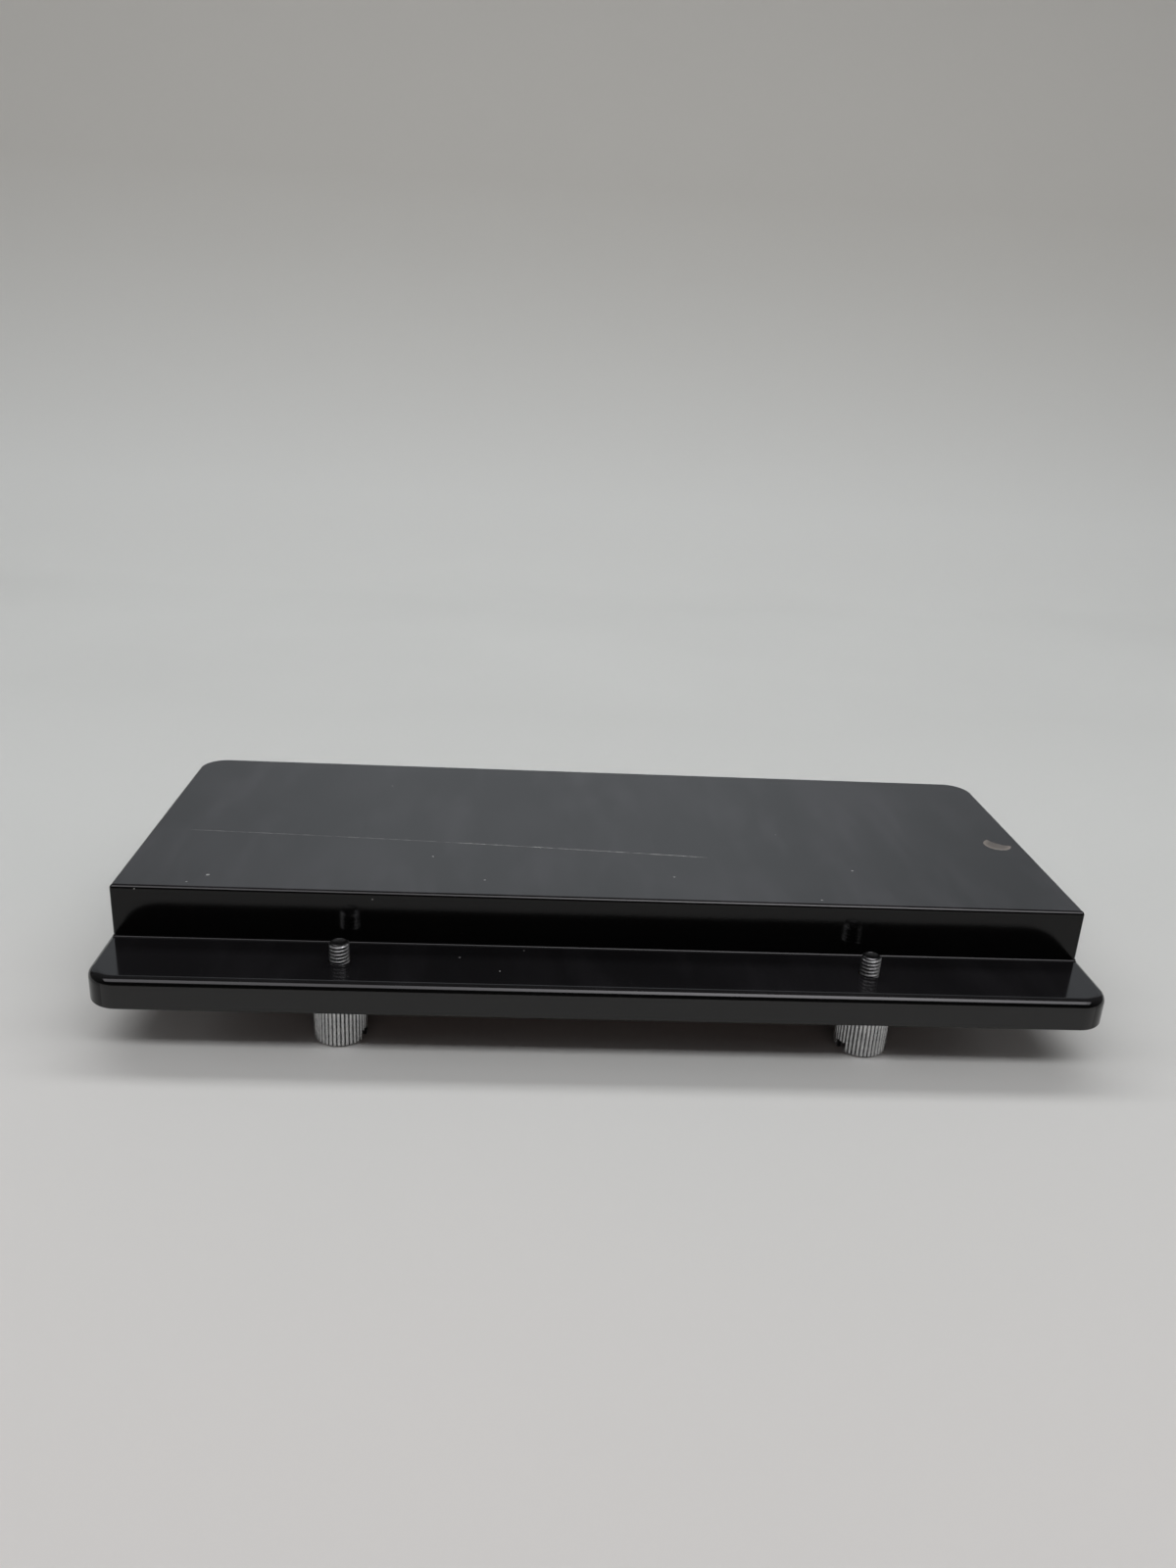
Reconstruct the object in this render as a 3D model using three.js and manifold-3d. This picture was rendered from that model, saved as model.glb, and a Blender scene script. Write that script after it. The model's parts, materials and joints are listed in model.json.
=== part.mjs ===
// Removable feed deck of a two-hopper automatic card shuffler, lying card side down.
// A stepped housing with a screw lip carries a pan with two motor-driven feed rollers.
// Millimetres, +X across the deck, +Y away from the lip, +Z up, resting plane at z = 0.
import * as THREE from 'three';
import { mergeVertices } from 'three/addons/utils/BufferGeometryUtils.js';
import Module from 'manifold-3d';

const wasm = await Module();
wasm.setup();

// Driving dimensions
const LIP_WIDTH = 205.8;
const BOX_WIDTH = 204.2;
const BOX_DEPTH = 77.2;
const LIP_DEPTH = 17.4;
const LIP_BOTTOM = 10.5;
const LIP_THICKNESS = 6.75;
const BOX_RISE = 11.66;
const CORNER_RADIUS = 6.35;
const WALL = 2.5;
const LIP_ROOF = 3;
const GAP = 0.3;

const SCREW_SPACING = 109;
const SCREW_TO_BOX = 7.5;
const THREAD_RADIUS = 2.083;
const THREAD_PITCH = 0.794;
const THREAD_ABOVE_LIP = 4.15;
const HEAD_RADIUS = 5.55;
const HEAD_HEIGHT = 9.5;
const HEAD_BOTTOM = 0.15;
const HEAD_RIBS = 40;
const SHANK_RADIUS = 1.55;
const LIP_SKIN = 0.8;
const SCREW_TURN_DEGREES = { left: -23.3, right: 41 };

const PAN_FLOOR = 3;
const PAN_WALL = 2;
const PAN_RIM = 14;
const CARD_WIDTH = 63.5;
const CARD_PLAY = 1.75;

const ROLLER_X = 30;
const ROLLER_Z = 12;
const ROLLER_RADIUS = 11.2;
const HUB_RADIUS = 7.7;
const TYRE_WIDTH = 8;
const TYRE_OFFSET = 14;
const SHAFT_RADIUS = 1.5;
const GEAR_MODULE = 0.5;
const GEAR_WIDTH = 3;
const TEETH = { roller: 22, idler: 24, pinion: 12 };
const IDLER_RISE = 1.5;
const MOTOR = { width: 12, height: 10, can: 15, gearbox: 9 };
const BOARD = { halfWidth: 15.5, front: -12, back: 42, thickness: 1.6 };
const SOCKET = { halfWidth: 10, height: 8, depth: 13.3 };

// Planes and places worked out from them
const FRONT = -(BOX_DEPTH + LIP_DEPTH) / 2;
const BACK = -FRONT;
const BOX_FRONT = FRONT + LIP_DEPTH;
const SIDE = BOX_WIDTH / 2;
const LIP_SIDE = LIP_WIDTH / 2;
const LIP_TOP = LIP_BOTTOM + LIP_THICKNESS;
const BOX_TOP = LIP_TOP + BOX_RISE;
const ROOF = BOX_TOP - WALL;
const SCREW_X = SCREW_SPACING / 2;
const SCREW_Y = BOX_FRONT - SCREW_TO_BOX;
const THREAD_START = LIP_TOP - LIP_SKIN + 0.15;
const PAN = {
  side: SIDE - WALL - GAP, front: BOX_FRONT + WALL + GAP, back: BACK - WALL - GAP,
  top: PAN_FLOOR + WALL, radius: 3.5,
};
const CARD_Y = (PAN.front + PAN.back) / 2;
const GEAR_PLANE = PAN.front + 5.6;
const PLATE_FACE = PAN.front + 4.5;
const REAR_POST = PAN.back - PAN_WALL - 2.9;
const CLAMP_Y = GEAR_PLANE + 25;
const CLAMP_EAR = PAN.top + 3.8;
const EAR_X = 9.4;
const BOARD_BOTTOM = PAN.top + 4;
const BOARD_TOP = BOARD_BOTTOM + BOARD.thickness;
const BOARD_SCREWS = { front: BOARD.front + 4, rear: BOARD.back - 12 };
const SENSOR_X = 12;
const pitchRadius = (teeth) => (GEAR_MODULE * teeth) / 2;
const IDLER = (() => {
  const reach = pitchRadius(TEETH.roller) + pitchRadius(TEETH.idler);
  return { x: Math.sqrt(reach ** 2 - IDLER_RISE ** 2), z: IDLER_RISE };
})();
const MOTOR_X = (() => {
  const reach = pitchRadius(TEETH.idler) + pitchRadius(TEETH.pinion);
  return IDLER.x + Math.sqrt(reach ** 2 - IDLER_RISE ** 2);
})();
const PAN_SCREWS = [
  [-91, PAN.front + 7.6], [91, PAN.front + 7.6], [-91, PAN.back - 7.5],
  [91, PAN.back - 7.5], [-20.5, PAN.back - 5], [20.5, PAN.back - 5],
];
const SIDES = { left: -1, right: 1 };

// Materials
const material = (color, roughness, metalness = 0) =>
  new THREE.MeshStandardMaterial({ color, roughness, metalness });
const glossBlack = material('#141415', 0.12);
const mattBlack = material('#1d1d1f', 0.5);
const satinSteel = material('#a9abad', 0.3, 1);
const darkSteel = material('#4c4d50', 0.4, 1);
const brass = material('#b08d4c', 0.35, 1);
const bronze = material('#9a6b3f', 0.45, 1);
const nylon = material('#e4e2da', 0.5);
const acetal = material('#dcdcd6', 0.4);
const rubber = material('#5b5c5e', 0.85);
const nickel = material('#b9b7b0', 0.25, 1);
const boardGreen = material('#1f5a3a', 0.45);
const chipBlack = material('#19191b', 0.6);
const capSilver = material('#c2c3c6', 0.35, 1);
const leadRed = material('#8f1d1a', 0.5);

// Closed geometry to solid, and back
function solid(geometry) {
  const bare = geometry.clone();
  bare.deleteAttribute('normal');
  bare.deleteAttribute('uv');
  const merged = mergeVertices(bare, 1e-5);
  return new wasm.Manifold(new wasm.Mesh({
    numProp: 3,
    vertProperties: new Float32Array(merged.attributes.position.array),
    triVerts: new Uint32Array(merged.index.array),
  }));
}

function toGeometry(body) {
  const mesh = body.getMesh();
  const geometry = new THREE.BufferGeometry();
  geometry.setAttribute('position', new THREE.BufferAttribute(mesh.vertProperties, 3));
  geometry.setIndex(new THREE.BufferAttribute(mesh.triVerts, 1));
  geometry.computeVertexNormals();
  return geometry;
}

const joined = (bodies) => bodies.reduce((sum, body) => sum.add(body));
const cutBy = (body, tools) => tools.reduce((rest, tool) => rest.subtract(tool), body);

// Basic closed shapes
function block(x0, x1, y0, y1, z0, z1) {
  const geometry = new THREE.BoxGeometry(x1 - x0, y1 - y0, z1 - z0);
  geometry.translate((x0 + x1) / 2, (y0 + y1) / 2, (z0 + z1) / 2);
  return solid(geometry);
}

function post(x, y, z0, z1, radius, segments = 12) {
  const geometry = new THREE.CylinderGeometry(radius, radius, z1 - z0, segments);
  geometry.rotateX(Math.PI / 2);
  geometry.translate(x, y, (z0 + z1) / 2);
  return solid(geometry);
}

function barAlongY(x, z, y0, y1, radius, segments = 12) {
  const geometry = new THREE.CylinderGeometry(radius, radius, y1 - y0, segments);
  geometry.translate(x, (y0 + y1) / 2, z);
  return solid(geometry);
}

// Rectangle outline with one radius at the front corners and one at the back corners
function roundedOutline(side, front, back, frontRadius, backRadius) {
  const outline = new THREE.Shape();
  outline.absarc(side - frontRadius, front + frontRadius, frontRadius, -Math.PI / 2, 0);
  outline.absarc(side - backRadius, back - backRadius, backRadius, 0, Math.PI / 2);
  outline.absarc(-side + backRadius, back - backRadius, backRadius, Math.PI / 2, Math.PI);
  outline.absarc(-side + frontRadius, front + frontRadius, frontRadius, Math.PI, Math.PI * 1.5);
  outline.closePath();
  return outline;
}

function slab(outline, z0, z1, chamfer = 0) {
  const geometry = new THREE.ExtrudeGeometry(outline, {
    depth: z1 - z0 - 2 * chamfer, curveSegments: 5, bevelEnabled: chamfer > 0,
    bevelThickness: chamfer, bevelSize: chamfer, bevelOffset: -chamfer, bevelSegments: 1,
  });
  geometry.translate(0, 0, z0 + chamfer);
  return solid(geometry);
}

// Ring or bush turned about the Y axis from [radius, y] points that close on themselves
function turned(points, segments) {
  const profile = [...points, points[0]].map(([radius, y]) => new THREE.Vector2(radius, y));
  return solid(new THREE.LatheGeometry(profile, segments));
}

// Outline drawn in X and Z, run along Y
function sectionAlongY(outline, y0, y1) {
  const geometry = new THREE.ExtrudeGeometry(outline, {
    depth: y1 - y0, bevelEnabled: false, curveSegments: 6,
  });
  geometry.rotateX(Math.PI / 2);
  geometry.translate(0, y1, 0);
  return solid(geometry);
}

// The object
const deck = new THREE.Group();

function piece(parent, name, body, finish, x = 0, y = 0, z = 0) {
  const mesh = new THREE.Mesh(toGeometry(body), finish);
  mesh.name = name;
  mesh.position.set(x, y, z);
  parent.add(mesh);
  return mesh;
}

// Stepped housing: closed box with a cored lip along its front, open underneath
function housingShell() {
  const edge = 0.4;
  const lip = slab(
    roundedOutline(LIP_SIDE, FRONT, BACK, CORNER_RADIUS, CORNER_RADIUS), LIP_BOTTOM, LIP_TOP, edge);
  const box = slab(
    roundedOutline(SIDE, BOX_FRONT, BACK, 0.6, CORNER_RADIUS), LIP_BOTTOM, BOX_TOP, edge);
  const innerRadius = CORNER_RADIUS - WALL;
  const below = LIP_BOTTOM - 1;
  const cavity = slab(
    roundedOutline(SIDE - WALL, BOX_FRONT + WALL, BACK - WALL, 1, innerRadius), below, ROOF);
  const channel = slab(
    roundedOutline(SIDE - WALL, FRONT + WALL, BOX_FRONT, innerRadius, 1), below, LIP_TOP - LIP_ROOF);
  const shell = cutBy(joined([lip, box]), [cavity, channel]);

  const ribPitch = SCREW_X / 3;
  const ribBottom = LIP_BOTTOM + edge;
  const ribTop = LIP_TOP - LIP_ROOF + 0.5;
  const ribs = [-5, -4, -3, -2, -1, 0, 1, 2, 3, 4, 5].map((k) =>
    block(k * ribPitch - 0.75, k * ribPitch + 0.75, FRONT + 1, BOX_FRONT + 1, ribBottom, ribTop));
  const collars = Object.values(SIDES).map((side) =>
    post(side * SCREW_X, SCREW_Y, ribBottom, ribTop, HEAD_RADIUS + 2.3, 24));
  const bosses = PAN_SCREWS.map(([x, y]) => post(x, y, PAN.top + GAP, ROOF + 0.5, 3));

  const headPockets = Object.values(SIDES).map((side) =>
    post(side * SCREW_X, SCREW_Y, below, LIP_TOP - LIP_ROOF, HEAD_RADIUS + 0.95, 24));
  const insertSeats = Object.values(SIDES).map((side) =>
    post(side * SCREW_X, SCREW_Y, LIP_TOP - LIP_ROOF - 0.5, LIP_TOP - LIP_SKIN, 3.5, 16));
  const threadHoles = Object.values(SIDES).map((side) =>
    post(side * SCREW_X, SCREW_Y, LIP_TOP - 1.5, LIP_TOP + 1, THREAD_RADIUS + 0.22, 16));
  const pilotHoles = PAN_SCREWS.map(([x, y]) => post(x, y, PAN.top, PAN.top + 9, 1.6, 8));
  const socketNotch = block(
    -SOCKET.halfWidth - GAP, SOCKET.halfWidth + GAP, BACK - WALL - 1, BACK + 1,
    below, BOARD_TOP + GAP + SOCKET.height + GAP);
  return cutBy(joined([shell, ...ribs, ...collars, ...bosses]),
    [...headPockets, ...insertSeats, ...threadHoles, ...pilotHoles, socketNotch]);
}

// Card-side pan: floor with roller windows, guide rails that it rests on, and bearing posts
function feedPan() {
  const outer = slab(
    roundedOutline(PAN.side, PAN.front, PAN.back, PAN.radius, PAN.radius), PAN_FLOOR, PAN_RIM);
  const inner = slab(
    roundedOutline(PAN.side - PAN_WALL, PAN.front + PAN_WALL, PAN.back - PAN_WALL, 1.5, 1.5),
    PAN.top, PAN_RIM + 1);
  const railY = CARD_WIDTH / 2 + CARD_PLAY;
  const rails = [-1, 1].map((end) =>
    block(-94, 94, CARD_Y + end * railY - 1.2, CARD_Y + end * railY + 1.2, 0, PAN_FLOOR + 0.5));
  const dividers = [-1, 1].map((end) =>
    block(end * 5 - 1, end * 5 + 1, CARD_Y - 27, CARD_Y + 27, 1, PAN_FLOOR + 0.5));
  const boardPosts = Object.values(BOARD_SCREWS).map((y) =>
    post(0, y, PAN.top - 0.5, BOARD_BOTTOM - GAP, 2.6));

  const added = [outer.subtract(inner), ...rails, ...dividers, ...boardPosts];
  const cuts = [
    ...PAN_SCREWS.flatMap(([x, y]) => [
      post(x, y, PAN_FLOOR - 1, PAN.top + 1, 1.6, 8), post(x, y, PAN_FLOOR - 1, PAN_FLOOR + 1.5, 2.9),
    ]),
    ...Object.values(BOARD_SCREWS).map((y) => post(0, y, PAN.top, BOARD_TOP, 1.3, 8)),
    block(-SOCKET.halfWidth - 0.6, SOCKET.halfWidth + 0.6, PAN.back - PAN_WALL - 1, PAN.back + 1,
      BOARD_BOTTOM - GAP, PAN_RIM + 1),
    ...[-1, 1].map((side) => post(side * SENSOR_X, CARD_Y, PAN_FLOOR - 1, PAN.top + 1, 2.4)),
  ];

  for (const side of Object.values(SIDES)) {
    const roller = side * ROLLER_X;
    const motor = side * (ROLLER_X + MOTOR_X);
    const reach = side * (ROLLER_X + IDLER.x + 4);
    const heel = side * (ROLLER_X - 5.5);
    added.push(
      block(Math.min(heel, reach), Math.max(heel, reach), PAN.front + 1, PLATE_FACE,
        PAN.top - 0.5, ROLLER_Z + 7),
      block(roller - 5.5, roller + 5.5, REAR_POST, PAN.back - 1, PAN.top - 0.5, ROLLER_Z + 5.5),
      block(motor - 5, motor + 5, GEAR_PLANE + 8, GEAR_PLANE + 27, PAN.top - 0.5,
        ROLLER_Z - MOTOR.height / 2 - GAP),
      ...[-1, 1].map((ear) =>
        post(motor + ear * EAR_X, CLAMP_Y, PAN.top - 0.5, CLAMP_EAR - GAP, 2.1)),
    );
    cuts.push(
      barAlongY(roller, ROLLER_Z, PAN.front + PAN_WALL, PLATE_FACE + 1, 3.2),
      barAlongY(roller, ROLLER_Z, REAR_POST - 1, PAN.back - PAN_WALL, 3.2),
      barAlongY(side * (ROLLER_X + IDLER.x), ROLLER_Z + IDLER.z, PAN.front + 1.5, PLATE_FACE + 1, 1.25, 12),
      ...[-1, 1].map((ear) => post(motor + ear * EAR_X, CLAMP_Y, PAN.top, CLAMP_EAR, 1.25, 8)),
      ...[-1, 1].map((row) => {
        const y = CARD_Y + row * TYRE_OFFSET;
        return block(roller - 10.5, roller + 10.5, y - TYRE_WIDTH / 2 - 1, y + TYRE_WIDTH / 2 + 1,
          PAN_FLOOR - 1, PAN.top + 0.5);
      }),
    );
  }
  return cutBy(joined(added), cuts);
}

// Self-tapping screw, head down, origin at the head's outer face
function tappingScrew(headRadius, headHeight, shankRadius, length) {
  const profile = [
    [0, 0], [headRadius * 0.8, 0], [headRadius, headHeight * 0.4], [headRadius, headHeight],
    [shankRadius, headHeight], [shankRadius, length - 1.2], [0, length],
  ].map(([radius, z]) => new THREE.Vector2(radius, z));
  const geometry = new THREE.LatheGeometry(profile, 10);
  geometry.rotateX(Math.PI / 2);
  const arm = headRadius * 0.55;
  return solid(geometry).subtract(block(-arm, arm, -0.35, 0.35, -1, headHeight * 0.6));
}

// Helical 60 degree thread: root and crest lines climb one pitch a turn, ends closed to the axis
function threadBody(z0, z1, pitch, crestRadius) {
  const segments = 12;
  const rootRadius = crestRadius - 0.6 * pitch;
  const crests = Math.ceil((z1 - z0) / pitch + 1) * segments;
  const points = [];
  const line = (count, radius, lift) => {
    const first = points.length / 3;
    for (let j = 0; j <= count; j += 1) {
      const angle = (2 * Math.PI * j) / segments;
      points.push(radius * Math.cos(angle), radius * Math.sin(angle),
        z0 - pitch + (pitch * j) / segments + lift);
    }
    return first;
  };
  const root = line(crests + segments, rootRadius, 0);
  const crest = line(crests, crestRadius, pitch / 2);
  const bottom = points.length / 3;
  points.push(0, 0, z0 - pitch);
  points.push(0, 0, z0 - pitch + (pitch * (crests + segments)) / segments);
  const top = bottom + 1;
  const faces = [];
  const strip = (low, high) => {
    for (let j = 0; j < crests; j += 1) {
      faces.push(low + j, low + j + 1, high + j + 1, low + j, high + j + 1, high + j);
    }
  };
  strip(root, crest);
  strip(crest, root + segments);
  for (let j = 0; j < segments; j += 1) {
    faces.push(bottom, root + j + 1, root + j);
    faces.push(top, root + crests + j, root + crests + j + 1);
  }
  faces.push(bottom, crest, root + segments, bottom, root, crest);
  faces.push(top, root + crests + segments, crest + crests, top, crest + crests, root + crests);
  return new wasm.Manifold(new wasm.Mesh({
    numProp: 3, vertProperties: new Float32Array(points), triVerts: new Uint32Array(faces),
  }));
}

// Captive thumbscrew, origin at the slotted end of its head
function thumbscrew() {
  const outline = new THREE.Shape();
  for (let k = 0; k < 2 * HEAD_RIBS; k += 1) {
    const radius = k % 2 ? HEAD_RADIUS - 0.35 : HEAD_RADIUS;
    const angle = (Math.PI * k) / HEAD_RIBS;
    const move = k ? 'lineTo' : 'moveTo';
    outline[move](radius * Math.cos(angle), radius * Math.sin(angle));
  }
  const head = slab(outline, 0, HEAD_HEIGHT, 0.4);
  const threadStart = THREAD_START - HEAD_BOTTOM;
  const tip = LIP_TOP + THREAD_ABOVE_LIP - HEAD_BOTTOM;
  const shank = post(0, 0, HEAD_HEIGHT - 0.5, threadStart + 0.2, SHANK_RADIUS);
  const trimProfile = [
    [0, threadStart], [THREAD_RADIUS + 0.1, threadStart], [THREAD_RADIUS + 0.1, tip - 0.5],
    [THREAD_RADIUS - 0.5, tip], [0, tip],
  ].map(([radius, z]) => new THREE.Vector2(radius, z));
  const trim = new THREE.LatheGeometry(trimProfile, 16);
  trim.rotateX(Math.PI / 2);
  const thread = threadBody(threadStart, tip, THREAD_PITCH, THREAD_RADIUS).intersect(solid(trim));
  const slot = block(-HEAD_RADIUS - 1, HEAD_RADIUS + 1, -1.2, 1.2, -1, 2.2);
  return joined([head, shank, thread]).subtract(slot);
}

// Spur gear about the Y axis, one tooth centred on the angle phase, measured from +X to +Z
function spurGear(teeth, phase, boreRadius) {
  const pitch = pitchRadius(teeth);
  const corners = [[pitch - 1.2 * GEAR_MODULE, 0.32], [pitch + 0.85 * GEAR_MODULE, 0.1]];
  const flank = [...corners.map(([r, a]) => [r, -a]), ...corners.reverse()];
  const outline = new THREE.Shape();
  for (let k = 0; k < teeth; k += 1) {
    flank.forEach(([radius, share], index) => {
      const angle = phase + (2 * Math.PI * (k + share)) / teeth;
      const move = k + index ? 'lineTo' : 'moveTo';
      outline[move](radius * Math.cos(angle), radius * Math.sin(angle));
    });
  }
  const bore = barAlongY(0, 0, -1, GEAR_WIDTH + 1, boreRadius, 12);
  return sectionAlongY(outline, 0, GEAR_WIDTH).subtract(bore);
}

// Phase that puts a gear in mesh with its neighbour, which lies at the angle direction
function meshedPhase(direction, drivenTeeth, drivenPhase, teeth) {
  return direction + Math.PI - (Math.PI - drivenTeeth * (direction - drivenPhase)) / teeth;
}

function screwUnit(side, sign) {
  const x = sign * SCREW_X;
  const insertTop = LIP_TOP - LIP_SKIN - 0.05;
  const insert = post(0, 0, LIP_TOP - LIP_ROOF, insertTop, 3.1, 16)
    .subtract(post(0, 0, 0, BOX_TOP, SHANK_RADIUS + 0.25));
  piece(deck, `lip_insert_${side}`, insert, brass, x, SCREW_Y);
  const washer = post(0, 0, 0, 0.5, 4.2, 16).subtract(post(0, 0, -1, 1, SHANK_RADIUS + 0.25));
  piece(deck, `retaining_washer_${side}`, washer, nylon, x, SCREW_Y, HEAD_BOTTOM + HEAD_HEIGHT + 0.05);
  const screw = piece(deck, `thumbscrew_${side}`, thumbscrew(), satinSteel, x, SCREW_Y, HEAD_BOTTOM);
  screw.rotation.z = THREE.MathUtils.degToRad(SCREW_TURN_DEGREES[side]);
}

// Roller shaft with its bushes, two hubs with tyres, and its gear
function rollerUnit(side, sign, phase) {
  const unit = new THREE.Group();
  unit.position.set(sign * ROLLER_X, 0, ROLLER_Z);
  deck.add(unit);
  const shaftFront = PAN.front + PAN_WALL + GAP;
  const shaftBack = PAN.back - PAN_WALL - GAP;
  piece(unit, `roller_shaft_${side}`, barAlongY(0, 0, shaftFront, shaftBack, SHAFT_RADIUS), darkSteel);
  piece(unit, `roller_gear_${side}`, spurGear(TEETH.roller, phase, SHAFT_RADIUS + 0.15), acetal,
    0, GEAR_PLANE);

  const bushBore = SHAFT_RADIUS + 0.2;
  const bush = (flip) => {
    const seat = [[bushBore, 0], [2.9, 0], [2.9, 2.1], [3.9, 2.1], [3.9, 2.6], [bushBore, 2.6]];
    return turned(flip ? seat.map(([r, y]) => [r, -y]).reverse() : seat, 12);
  };
  piece(unit, `shaft_bush_${side}_front`, bush(false), bronze, 0, PLATE_FACE - 2.1 + 0.05);
  piece(unit, `shaft_bush_${side}_rear`, bush(true), bronze, 0, REAR_POST + 2.1 - 0.05);

  for (const [row, offset] of [['front', -TYRE_OFFSET], ['rear', TYRE_OFFSET]]) {
    const half = TYRE_WIDTH / 2;
    const bore = SHAFT_RADIUS + 0.15;
    const hub = turned([
      [bore, -half], [HUB_RADIUS - 1.5, -half + 1.2], [HUB_RADIUS - 1.5, -half],
      [HUB_RADIUS, -half], [HUB_RADIUS, half], [HUB_RADIUS - 1.5, half],
      [HUB_RADIUS - 1.5, half - 1.2], [bore, half],
    ], 16);
    const inner = HUB_RADIUS + 0.3;
    const tyre = turned([
      [inner, -half], [ROLLER_RADIUS - 0.6, -half], [ROLLER_RADIUS, -half + 0.6],
      [ROLLER_RADIUS, half - 0.6], [ROLLER_RADIUS - 0.6, half], [inner, half],
    ], 24);
    piece(unit, `roller_hub_${side}_${row}`, hub, acetal, 0, CARD_Y + offset);
    piece(unit, `feed_tyre_${side}_${row}`, tyre, rubber, 0, CARD_Y + offset);
  }
}

function idlerUnit(side, sign, phase) {
  const x = sign * (ROLLER_X + IDLER.x);
  const z = ROLLER_Z + IDLER.z;
  piece(deck, `idler_gear_${side}`, spurGear(TEETH.idler, phase, 1.2), acetal, x, GEAR_PLANE, z);
  const pin = barAlongY(0, 0, PAN.front + 2, GEAR_PLANE + GEAR_WIDTH + 0.4, 1, 12)
    .add(barAlongY(0, 0, GEAR_PLANE + GEAR_WIDTH + GAP, GEAR_PLANE + GEAR_WIDTH + 1, 2, 12));
  piece(deck, `idler_pin_${side}`, pin, darkSteel, x, 0, z);
}

// Gear motor, its pinion and its clamp, origin on the output shaft's axis
function motorUnit(side, sign, phase) {
  const unit = new THREE.Group();
  unit.position.set(sign * (ROLLER_X + MOTOR_X), 0, ROLLER_Z);
  deck.add(unit);
  const halfWidth = MOTOR.width / 2;
  const halfHeight = MOTOR.height / 2;
  const boxFront = GEAR_PLANE + GEAR_WIDTH + 2;
  const canFront = boxFront + MOTOR.gearbox + GAP;
  const capFront = canFront + MOTOR.can + GAP;

  piece(unit, `motor_pinion_${side}`, spurGear(TEETH.pinion, phase, SHAFT_RADIUS + 0.15), brass,
    0, GEAR_PLANE);
  piece(unit, `motor_shaft_${side}`,
    barAlongY(0, 0, GEAR_PLANE - 0.4, boxFront - GAP, SHAFT_RADIUS), darkSteel);

  const plateAt = (y) => block(-halfWidth, halfWidth, y, y + 1, -halfHeight, halfHeight);
  const gearbox = joined([
    plateAt(boxFront), plateAt(boxFront + 4), plateAt(boxFront + MOTOR.gearbox - 1),
    block(-3.8, 3.8, boxFront + 0.5, boxFront + MOTOR.gearbox - 0.5, -3.8, 3.8),
  ]);
  piece(unit, `gearbox_${side}`, gearbox, brass);

  const flat = Math.asin(halfHeight / halfWidth);
  const canOutline = new THREE.Shape();
  canOutline.absarc(0, 0, halfWidth, -flat, flat);
  canOutline.absarc(0, 0, halfWidth, Math.PI - flat, Math.PI + flat);
  canOutline.closePath();
  piece(unit, `motor_can_${side}`, sectionAlongY(canOutline, canFront, canFront + MOTOR.can), nickel);
  const cap = joined([
    sectionAlongY(canOutline, capFront, capFront + 1.6),
    ...[-2.6, 2.6].map((x) => block(x - 0.9, x + 0.9, capFront + 1, capFront + 3.6, -0.3, 0.3)),
  ]);
  piece(unit, `brush_cap_${side}`, cap, chipBlack);

  const inside = halfWidth + 0.4;
  const outside = inside + 1.1;
  const earTop = CLAMP_EAR + 1.1 - ROLLER_Z;
  const earBottom = CLAMP_EAR - ROLLER_Z;
  const hatTop = halfHeight + GAP + 1.1;
  const corners = [
    [-11.6, earBottom], [-inside, earBottom], [-inside, halfHeight + GAP], [inside, halfHeight + GAP],
    [inside, earBottom], [11.6, earBottom], [11.6, earTop], [outside, earTop], [outside, hatTop],
    [-outside, hatTop], [-outside, earTop], [-11.6, earTop],
  ].map(([x, z]) => new THREE.Vector2(x, z));
  const strap = cutBy(sectionAlongY(new THREE.Shape(corners), CLAMP_Y - 3, CLAMP_Y + 3),
    [-1, 1].map((ear) => post(ear * EAR_X, CLAMP_Y, earBottom - 1, earTop + 1, 1.15, 12)));
  piece(unit, `motor_clamp_${side}`, strap, darkSteel);
  for (const [end, ear] of [['inner', -sign], ['outer', sign]]) {
    const screw = piece(unit, `clamp_screw_${side}_${end}`, tappingScrew(1.9, 1.2, 0.9, 5.6),
      satinSteel, ear * EAR_X, CLAMP_Y, earTop + 0.05 + 1.2);
    screw.rotation.x = Math.PI;
  }
}

// Twin lead from the motor's tabs over the roller shaft to the board's edge
function motorLead(side, sign) {
  const start = GEAR_PLANE + GEAR_WIDTH + 2 + MOTOR.gearbox + MOTOR.can + 2 * GAP + 3.9;
  const motor = ROLLER_X + MOTOR_X;
  const route = [
    [motor, start, ROLLER_Z], [motor - 1, start + 2, ROLLER_Z + 1], [motor - 6, start + 2.5, 17],
    [ROLLER_X + 6, CARD_Y + 3, 20.5], [ROLLER_X, CARD_Y + 1, 20.8], [ROLLER_X - 7, CARD_Y, 19],
    [BOARD.halfWidth + 1, CARD_Y - 1, 15.5], [BOARD.halfWidth - 3.5, CARD_Y - 1, BOARD_TOP + 1.1],
  ].map(([x, y, z]) => new THREE.Vector3(sign * x, y, z));
  const section = new THREE.Shape([
    [-0.65, -1.3], [0.65, -1.3], [0.65, 1.3], [-0.65, 1.3],
  ].map(([x, y]) => new THREE.Vector2(x, y)));
  const geometry = new THREE.ExtrudeGeometry(section, {
    steps: 20, bevelEnabled: false, extrudePath: new THREE.CatmullRomCurve3(route),
  });
  piece(deck, `motor_lead_${side}`, solid(geometry), leadRed);
}

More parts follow.
